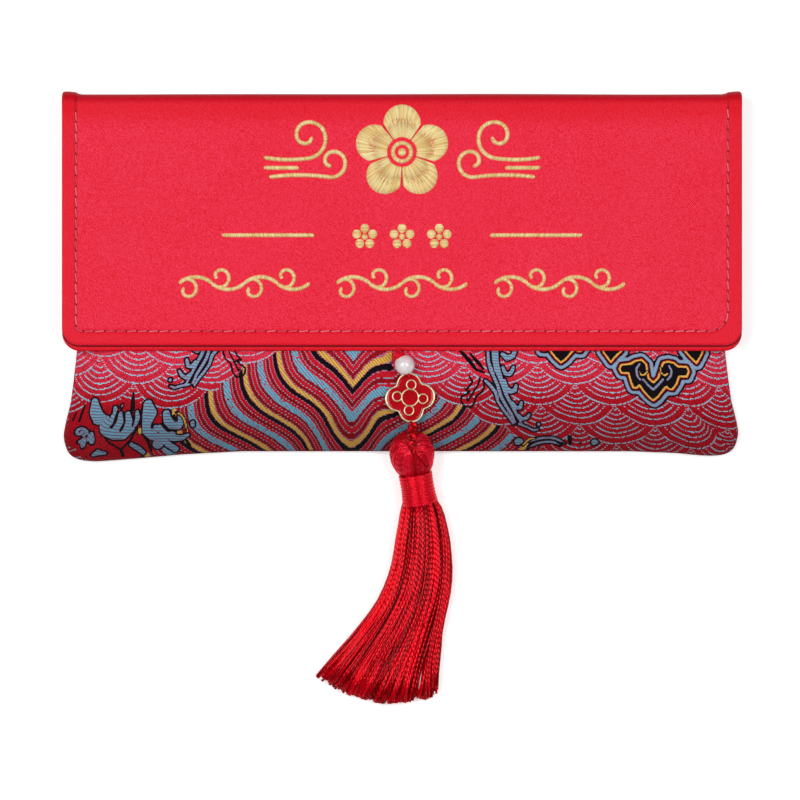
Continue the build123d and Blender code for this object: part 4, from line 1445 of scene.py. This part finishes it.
# %% Embroidered vines
vine_height = -3.1 * mm
vine_pitch = 44.0 * mm
vine_wave = 6.8 * mm
vine_curl = 2.5 * mm
vine_slope = 42
tendril_slope = 32
tendril_width = 0.9 * mm
span = 2 * vine_wave * math.sin(math.radians(vine_slope))
lines = []
for centre in (-vine_pitch, 0, vine_pitch):
    start = np.array([centre - 2 * span, vine_height])
    for side in (1, -1, 1, -1):
        wave, headings = bends(start, vine_slope * side, vine_wave, [(1, -2 * vine_slope * side)])
        root = wave[len(wave) // 8]
        tendril_turns = [(1, -170 * side), (0.76, -90 * side), (0.48, -100 * side)]
        tendril = bends(root, tendril_slope * side, vine_curl, tendril_turns)
        lines.append(satin_stroke(wave, headings, stroke_width))
        lines.append(satin_stroke(*tendril, tendril_width))
        start = wave[-1]
embroider("gold_vine_stitch", lines, "gold_vines")

# %% [markdown]
# The pendant hangs on a red cord: a knot above the bead, the bead, the charm's two loops, and a plaited
# cord into the tassel. The cords are thin and short, so each is a few plaited threads along a smooth path.

# %% Plaits
bead_low, bead_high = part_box("pearl_bead")
bead = (bead_low + bead_high) / 2
bead_radius = (bead_high.z - bead_low.z) / 2
bore = Vector(joints["bead_spin"]["axis"]).normalized()
lift_pivot = Vector(joints["pendant_lift"]["pos_m"])
upper_loop = Vector(joints["charm_swing"]["pos_m"])
lower_loop = Vector(joints["tassel_swing"]["pos_m"])


def plait(line, width, depth, turns):
    """Three threads plaited along a line."""
    along = np.gradient(line, axis=0)
    along /= np.linalg.norm(along, axis=1, keepdims=True)
    across = np.cross(along, [0, 0, 1.0])
    across /= np.linalg.norm(across, axis=1, keepdims=True)
    up = np.cross(across, along)
    phase = np.linspace(0, 2 * math.pi * turns, len(line))
    threads = []
    for k in range(3):
        angle = phase + 2 * math.pi * k / 3
        swing = across * (width / 2 * np.sin(angle))[:, None]
        threads.append(line + swing + up * (depth / 2 * np.sin(2 * angle))[:, None])
    return threads


print("bead of", round(2 * bead_radius / mm, 1), "mm at", [round(value / mm, 1) for value in bead])

# %% Sewn cord and pendant cord
anchor_low, anchor_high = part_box("cord_anchor")
sewn = Vector((lift_pivot.x, anchor_high.y, anchor_low.z))
under_lip = lining_low.z - 0.1 * mm
anchor_points = [
    sewn, (sewn.x, flap_low.y + 1.6 * mm, under_lip), (sewn.x, flap_low.y - 1.0 * mm, under_lip),
    (sewn.x, lift_pivot.y - 0.3 * mm, under_lip + 0.4 * mm), lift_pivot,
]
sewn_plait = plait(smooth(anchor_points, 30), width=0.5 * mm, depth=0.4 * mm, turns=3)
cord_anchor = yarn("sewn_cord", sewn_plait, 0.26 * mm)
dress(cord_anchor, red_thread, "flap", "red_cord", "cord_anchor")

hanger_points = [
    lift_pivot, bead - bore * bead_radius, bead + bore * bead_radius,
    (upper_loop.x, upper_loop.y + 0.5 * mm, bead.z - 0.4 * mm), upper_loop,
]
pendant_plait = plait(smooth(hanger_points, 90), width=0.34 * mm, depth=0.26 * mm, turns=8)
hanger_cord = yarn("pendant_cord", pendant_plait, 0.22 * mm, sides=8)
dress(hanger_cord, red_thread, "hanger", "red_cord", "hanger_cord")

# %% [markdown]
# The knot is the same cord wound round itself five times, so it is a short helix that swells in its middle.
# A ball would do from afar, but its turns catch the light one by one.

# %% Knot above the bead
coil_turns = 5
coil_length = 3.0 * mm
coil_radius, coil_swell = 0.62 * mm, 0.25 * mm
coil_way = Vector((0.96, -0.26, -0.1)).normalized()
coil_side = coil_way.cross(Vector((0, 0, 1))).normalized()
coil_up = coil_side.cross(coil_way)
coil_middle = bead - bore * (bead_radius - 0.25 * mm) + Vector((-0.5 * mm, 0.0 * mm, 0.25 * mm))
turn = np.linspace(0, 2 * math.pi * coil_turns, coil_turns * 28)
place = turn / turn[-1] - 0.5
reach = coil_radius + coil_swell * np.cos(math.pi * place)
knot = np.array(coil_middle) + np.outer(place * coil_length, coil_way)
knot = knot + np.outer(reach * np.cos(turn), coil_side) + np.outer(reach * np.sin(turn), coil_up)
pendant_knot = yarn("pendant_knot", [knot], 0.4 * mm, sides=8)
dress(pendant_knot, red_thread, "hanger", "red_cord")

# %% [markdown]
# The bead is a pearl with a lacquer skin. It is a sphere whose poles are pressed in where the cord goes
# through. A drilled hole would be hidden by the cord, so the dimples are enough, and its finish is a slow
# drift of tone under a clear coat.


# %% Bead
def skin_finish(name, dark, light, scale, constants, speckle=0.3):
    """A smooth skin with a slow drift of tone and a little speckle."""
    finish = Finish(name, constants)
    place = finish.place()
    tone = place.noise(scale, 2.0) + (place.noise(scale * 9, 2.0) - 0.5) * speckle
    finish.feed("Base Color", tone.fade(0.3, 0.7).paint(dark, light))
    rough = constants["Roughness"]
    finish.feed("Roughness", place.noise(scale * 5, 2.0) * (rough * 0.8) + rough * 0.6)
    return finish


bore_reach = 0.75 * mm
bore_dip = 0.35
pearl = skin_finish("pearl_lacquer", dye(226, 206, 214), dye(250, 244, 246), 0.35,
                    {"Roughness": 0.22, "Coat Weight": 0.6, "Coat Roughness": 0.08, "Sheen Weight": 0.2})
bpy.ops.object.select_all(action="DESELECT")
bpy.ops.mesh.primitive_uv_sphere_add(segments=64, ring_count=40, radius=bead_radius)
pearl_bead = bpy.context.object
pearl_bead.name = "pearl"
for vertex in pearl_bead.data.vertices:
    from_bore = math.hypot(vertex.co.x, vertex.co.y)
    vertex.co.z *= 1 - bore_dip * max(0, 1 - from_bore / bore_reach) ** 2
pearl_bead.data.transform(Matrix.Translation(bead) @ bore.to_track_quat("Z", "Y").to_matrix().to_4x4())
pearl_bead.data.shade_smooth()
dress(pearl_bead, pearl, "bead", "pearl", "pearl_bead")

# %% [markdown]
# The charm is a cast four-lobed cell. It could be cut from a plate with booleans, but a circle that is
# drawn out to lobes, extruded, inset and sunk keeps clean edges. Its enamel is a pool that climbs a little
# at the rim, and the flower in it is bent wire.

# %% Charm helpers
charm_low, charm_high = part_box("charm_frame")
cell_low, cell_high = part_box("charm_enamel")
charm = (cell_low + cell_high) / 2 + Vector((-0.35 * mm, 1.1 * mm, 0))
charm_turn = math.radians(5.0)
lobe_place = 3.55 * mm
lobe_radius = 3.45 * mm
lobe_blend = 10


def lobed_disc(name, height, grow):
    """A flat face with four round lobes, drawn out from a circle and left in edit mode."""
    bpy.ops.object.select_all(action="DESELECT")
    bpy.ops.mesh.primitive_circle_add(vertices=160, radius=lobe_place, fill_type="NGON")
    piece = bpy.context.object
    piece.name = name
    for vertex in piece.data.vertices:
        turn = math.atan2(vertex.co.y, vertex.co.x)
        lobes = [lobe_place * way + math.sqrt(max(0, lobe_radius ** 2 - lobe_place ** 2 * (1 - way * way)))
                 for way in (abs(math.cos(turn)), abs(math.sin(turn)))]
        away = (lobes[0] ** lobe_blend + lobes[1] ** lobe_blend) ** (1 / lobe_blend) + grow
        vertex.co.x = charm.x + away * math.cos(turn + charm_turn)
        vertex.co.y = charm.y + away * math.sin(turn + charm_turn)
        vertex.co.z = height
    bpy.ops.object.mode_set(mode="EDIT")
    bpy.ops.mesh.select_all(action="SELECT")
    return piece


def raise_steps(piece, *steps):
    """Extrudes the selected face step by step, each a lift and a scale, and leaves edit mode."""
    for lift, grow in steps:
        bpy.ops.mesh.extrude_region_move(TRANSFORM_OT_translate={"value": (0, 0, lift)})
        bpy.ops.transform.resize(value=(grow, grow, 1), center_override=(charm.x, charm.y, 0))
    bpy.ops.mesh.select_all(action="SELECT")
    bpy.ops.mesh.normals_make_consistent(inside=False)
    bpy.ops.object.mode_set(mode="OBJECT")
    piece.data.shade_smooth()


def wire_ring(place, radius, wire_radius, around, across):
    """A ring of round wire, with its place in its mesh."""
    bpy.ops.object.select_all(action="DESELECT")
    bpy.ops.mesh.primitive_torus_add(major_radius=radius, minor_radius=wire_radius, major_segments=around,
                                     minor_segments=across)
    ring = bpy.context.object
    ring.data.transform(Matrix.Translation(place))
    ring.data.shade_smooth()
    return ring


def join(first, others):
    """Makes one piece of several, under the first one's name."""
    bpy.ops.object.select_all(action="DESELECT")
    for piece in (first, *others):
        piece.select_set(True)
    bpy.context.view_layer.objects.active = first
    bpy.ops.object.join()


print("charm of", round((charm_high.x - charm_low.x) / mm, 1), "mm")

# %% Charm cell and loops
loop_shift = Vector((-0.3 * mm, 0.9 * mm, 0))
gilt = skin_finish("pale_gilt", dye(222, 210, 150), dye(246, 242, 206), 0.9,
                   {"Roughness": 0.28, "Metallic": 0.5})
charm_cell = lobed_disc("charm_cell", charm_low.z, -0.12 * mm)
raise_steps(charm_cell, (0.12 * mm, 1.018), (charm_high.z - charm_low.z - 0.3 * mm, 1.0), (0.14 * mm, 0.988),
            (0.04 * mm, 0.975), (-0.02 * mm, 0.97), (-0.4 * mm, 0.99))
eyelets = [wire_ring(loop + loop_shift, 0.83 * mm, 0.24 * mm, 40, 12) for loop in (upper_loop, lower_loop)]
join(charm_cell, eyelets)
dress(charm_cell, gilt, "charm", "gilt", "charm_frame")

# %% Charm enamel and wire flower
flower_height = charm_high.z - 0.14 * mm
flower_reach = 3.6 * mm
petal_ring, heart_ring, flower_wire = 1.3 * mm, 2.35 * mm, 0.17 * mm
glassy = {"Roughness": 0.12, "Coat Weight": 0.4, "Coat Roughness": 0.05, "Specular IOR Level": 0.2}
enamel = skin_finish("red_enamel", dye(164, 0, 12), dye(186, 2, 22), 0.25, glassy, 0.05)
charm_pool = lobed_disc("charm_pool", charm_high.z - 0.51 * mm, -0.42 * mm)
raise_steps(charm_pool, (0.35 * mm, 1.0), (-0.12 * mm, 0.96), (-0.05 * mm, 0.94), (0.02 * mm, 0.85),
            (0.05 * mm, 0.75), (0.04 * mm, 0.6), (0.02 * mm, 0.4))
dress(charm_pool, enamel, "charm", "enamel", "charm_enamel")

rings = []
for turn in [charm_turn + math.pi / 2 * k for k in range(4)]:
    x, y = charm.x + flower_reach * math.sin(turn), charm.y + flower_reach * math.cos(turn)
    rings.append(wire_ring((x, y, flower_height), petal_ring, flower_wire, 48, 10))
rings.append(wire_ring((charm.x, charm.y, flower_height), heart_ring, flower_wire, 48, 10))
charm_flower = rings[0]
charm_flower.name = "charm_flower"
join(charm_flower, rings[1:])
dress(charm_flower, gilt, "charm", "gilt", "charm_ornament")

# %% [markdown]
# A tassel is a hank of yarn folded over its cord. The folded end makes the head, a fine thread binds the
# neck, and the cut ends make the skirt. So the head is ribs of yarn from its top down to the neck, the
# binding is one long helix, and the skirt is a few hundred separate strands that spread, lean and end
# unevenly.

# %% Tassel head
tassel_top = lower_loop + Vector((-1.5 * mm, -1.2 * mm, 0.5 * mm))
tassel_lean = Vector((3.2, -19.2, -4.2)).normalized()
head_top, head_foot = 6.2 * mm, 8.2 * mm
head_side = 6.25 * mm
head_rise, head_under = 4.2 * mm, 3.2 * mm
strand_radius = 0.42 * mm
rib_share, rib_points = 0.93, 18
rib_wobble = 0.012
level = Vector((0, 0, 1)).cross(tassel_lean).normalized()
upward = tassel_lean.cross(level)
head_middle = tassel_top + tassel_lean * head_top
crown_point = Vector((0.05, 0.36, 0.93)).normalized()
neck_point = Vector((0, -1, 0))
chord = neck_point - crown_point
chord_middle = (crown_point + neck_point) / 2
chord_way = chord.normalized()
near_side = chord_middle.normalized()
far_side = chord_way.cross(near_side)


def head_rib(turn, size, wander):
    """A rib of yarn on the head, from the cord's hole round to the neck: a circle through both."""
    half, lift = chord.length / 2, chord_middle.length
    radius = math.sqrt((lift * math.cos(turn)) ** 2 + half ** 2)
    end = math.atan2(half, lift * math.cos(turn))
    sweep = np.linspace(-end * rib_share, end * rib_share, rib_points)
    out = near_side * math.cos(turn) + far_side * math.sin(turn)
    ball = np.array(chord_middle) + np.outer(radius * np.sin(sweep), chord_way)
    ball = ball + np.outer(radius * np.cos(sweep) - lift * math.cos(turn), out)
    ball = ball * size * (1 + rib_wobble * np.sin(sweep * 3 + wander))[:, None]
    down = -ball[:, 1] * np.where(ball[:, 1] > 0, head_top, head_foot)
    rise = ball[:, 2] * np.where(ball[:, 2] > 0, head_rise, head_under)
    rib = np.array(head_middle) + np.outer(ball[:, 0] * head_side, level)
    return rib + np.outer(down, tassel_lean) + np.outer(rise, upward)


ribs = []
for size, count, parting in ((0.95, 54, 0.16), (0.84, 40, 0.0), (0.72, 26, 0.0)):
    for k in range(count):
        turn = 2 * math.pi * (k + 0.5 + draw.uniform(-0.3, 0.3)) / count
        gap = parting * math.exp(-(math.sin(turn / 2) / 0.1) ** 2)
        turn = turn + math.copysign(gap, math.sin(turn))
        ribs.append(head_rib(turn, size * draw.uniform(0.98, 1.02), draw.uniform(0, 6)))
tassel_head = yarn("tassel_head_yarn", ribs, strand_radius)
# The head wears the lighter copy of the tassel yarn, painted light.
dress(tassel_head, head_yarn_painted_lighter, "tassel", "tassel_yarn", "tassel_head")

# %% Neck winding
neck_start = head_middle + tassel_lean * 6.3 * mm
neck_length = 8.6 * mm
neck_side, neck_rise = 4.9 * mm, 4.1 * mm
neck_waist, wrap_ripple = 0.05, 0.02
wrap_turns = 26
turn = np.linspace(0, 2 * math.pi * wrap_turns, wrap_turns * 40)
share = turn / turn[-1]
bulge = 1 - neck_waist * np.sin(math.pi * share) + wrap_ripple * np.sin(share * 57)
bulge = bulge * (0.94 + 0.06 * share)
wrap = np.array(neck_start) + np.outer(share * neck_length, tassel_lean)
wrap = wrap + np.outer(neck_side * bulge * np.cos(turn), level)
wrap = wrap + np.outer(neck_rise * bulge * np.sin(turn), upward)
neck_wrap = yarn("neck_wrap", [wrap], 0.17 * mm)
dress(neck_wrap, wrap_yarn, "tassel", "wrap_thread", "neck_winding")

# %% [markdown]
# The skirt's strands leave the neck side by side, cling together in clumps and fan out over the table. So a
# bent tube with an oval section gives the way, each strand keeps its own place in that section, and a
# slanting line cuts them off. Hair particles could do the same, but strands made as a mesh stay the same in
# every view and export.

# %% Sections of the skirt
floor_gap = 0.35 * mm
neck_section = (9.2, 7.6)
skirt_sections = [
    (5.5, -66.4, 12.2, 7.4), (5.7, -74.8, 15.8, 7.0), (5.1, -83.8, 18.0, 6.4), (2.8, -92.7, 20.6, 5.8),
    (-1.2, -101.6, 25.2, 5.2), (-5.8, -110.6, 31.6, 4.6), (-11.0, -121.5, 40.6, 4.2),
]
cut_places = [-1.0, -0.5, -0.1, 0.3, 0.7, 1.0]
cut_line = np.array([-113.2, -117.0, -119.4, -121.0, -120.6, -118.8]) * mm
cut_spread = 3.0 * mm
skirt_steps = 60
skirt_start = neck_start + tassel_lean * (neck_length - 1.4 * mm)
sections = [(*skirt_start, *[size * mm for size in neck_section])]
for x, y, width, depth in skirt_sections:
    sections.append((x * mm, y * mm, floor_gap + depth * mm / 2, width * mm, depth * mm))
sections = np.array(sections)
centre_line = smooth(sections[:, :3], skirt_steps)
half_sizes = [np.interp(-centre_line[:, 1], -sections[:, 1], sections[:, k]) / 2 for k in (3, 4)]
print("skirt of", round(float(run_along(centre_line)[-1]) / mm, 1), "mm along its middle")

# %% Tassel skirt
strand_count = 400
clump_count = 44
strand_steps = 17
turn_spread, away_spread = 0.09, 0.07
wander_size, lift_size = 0.07, 0.06
clumps = [(draw.uniform(0, 2 * math.pi), math.sqrt(draw.uniform(0.1, 1.0))) for _ in range(clump_count)]
share = np.linspace(0, 1, skirt_steps)
numbers = np.arange(skirt_steps)
strands = []
for k in range(strand_count):
    turn, away = clumps[k % clump_count]
    turn = turn + draw.normal(0, turn_spread)
    away = np.clip(away + draw.normal(0, away_spread), 0.2, 1.0)
    wander = wander_size * np.sin(share * draw.uniform(3, 9) + draw.uniform(0, 6)) * share
    lift = lift_size * np.sin(share * draw.uniform(4, 11) + draw.uniform(0, 6)) * share
    across = np.clip(away * math.cos(turn) + wander, -1.04, 1.04) * (half_sizes[0] - strand_radius)
    up = np.clip(away * math.sin(turn) + lift, -1, 1.1) * (half_sizes[1] - strand_radius)
    line = centre_line + np.stack([across, np.zeros(skirt_steps), up], 1)
    end = np.interp(away * math.cos(turn), cut_places, cut_line) + draw.uniform(0, 1.0) ** 2 * cut_spread
    places = np.linspace(0, np.interp(-end, -line[:, 1], numbers), strand_steps)
    strands.append(np.stack([np.interp(places, numbers, line[:, n]) for n in range(3)], 1))
strand_radii = strand_radius * draw.uniform(0.75, 1.05, strand_count)
tassel_skirt = yarn("tassel_strands", strands, strand_radii, sides=5)
dress(tassel_skirt, tassel_yarn, "tassel", "tassel_yarn", "tassel_skirt")

# %% [markdown]
# A short plait joins the charm to the tassel and goes down into its head, and one thread has come loose
# there. Both are threads along a smooth line, as the other cords are.

# %% Tassel plait and stray thread
hole = head_middle + level * (crown_point.x * head_side) - tassel_lean * (crown_point.y * head_top)
hole = hole + upward * head_rise
plait_points = [
    lower_loop + Vector((-0.3 * mm, 0.9 * mm, 0.2 * mm)),
    lower_loop + Vector((-0.3 * mm, -0.8 * mm, 1.9 * mm)),
    tassel_top + Vector((0.9 * mm, -1.6 * mm, 4.6 * mm)),
    hole + Vector((0.2 * mm, 0.9 * mm, 0.9 * mm)),
    hole + Vector((0.5 * mm, -1.2 * mm, -1.2 * mm)),
]
tassel_plait = plait(smooth(plait_points, 80), width=1.55 * mm, depth=0.9 * mm, turns=2.6)
tassel_cord = yarn("tassel_plait", tassel_plait, 0.56 * mm, sides=8)
dress(tassel_cord, tassel_yarn, "tassel", "red_cord", "tassel_cord")

stray_points = [
    hole + upward * 0.2 * mm,
    hole + tassel_lean * 2.4 * mm + level * 0.9 * mm + upward * 0.5 * mm,
    hole + tassel_lean * 7.0 * mm + level * 3.6 * mm - upward * 1.3 * mm,
]
stray_thread = yarn("stray_thread", [smooth(stray_points, 24)], 0.3 * mm)
dress(stray_thread, tassel_yarn, "tassel", "tassel_yarn")

# %% [markdown]
# The board and the two magnets are hidden in the cloth. They stay as the frame has them, with a fibrous
# grey board and a plated steel.

# %% Hidden pieces
board = skin_finish("grey_board", dye(150, 138, 118), dye(186, 174, 152), 0.6, {"Roughness": 0.85}, 0.6)
steel = skin_finish("plated_steel", dye(150, 150, 154), dye(190, 190, 196), 0.8,
                    {"Roughness": 0.3, "Metallic": 1.0}, 0.2)
for node, finish in (("flap_board", board), ("pouch_magnet", steel), ("flap_magnet", steel)):
    frame["nodes"][node].data.materials.clear()
    frame["nodes"][node].data.materials.append(finish.material)
print("hidden pieces dressed")
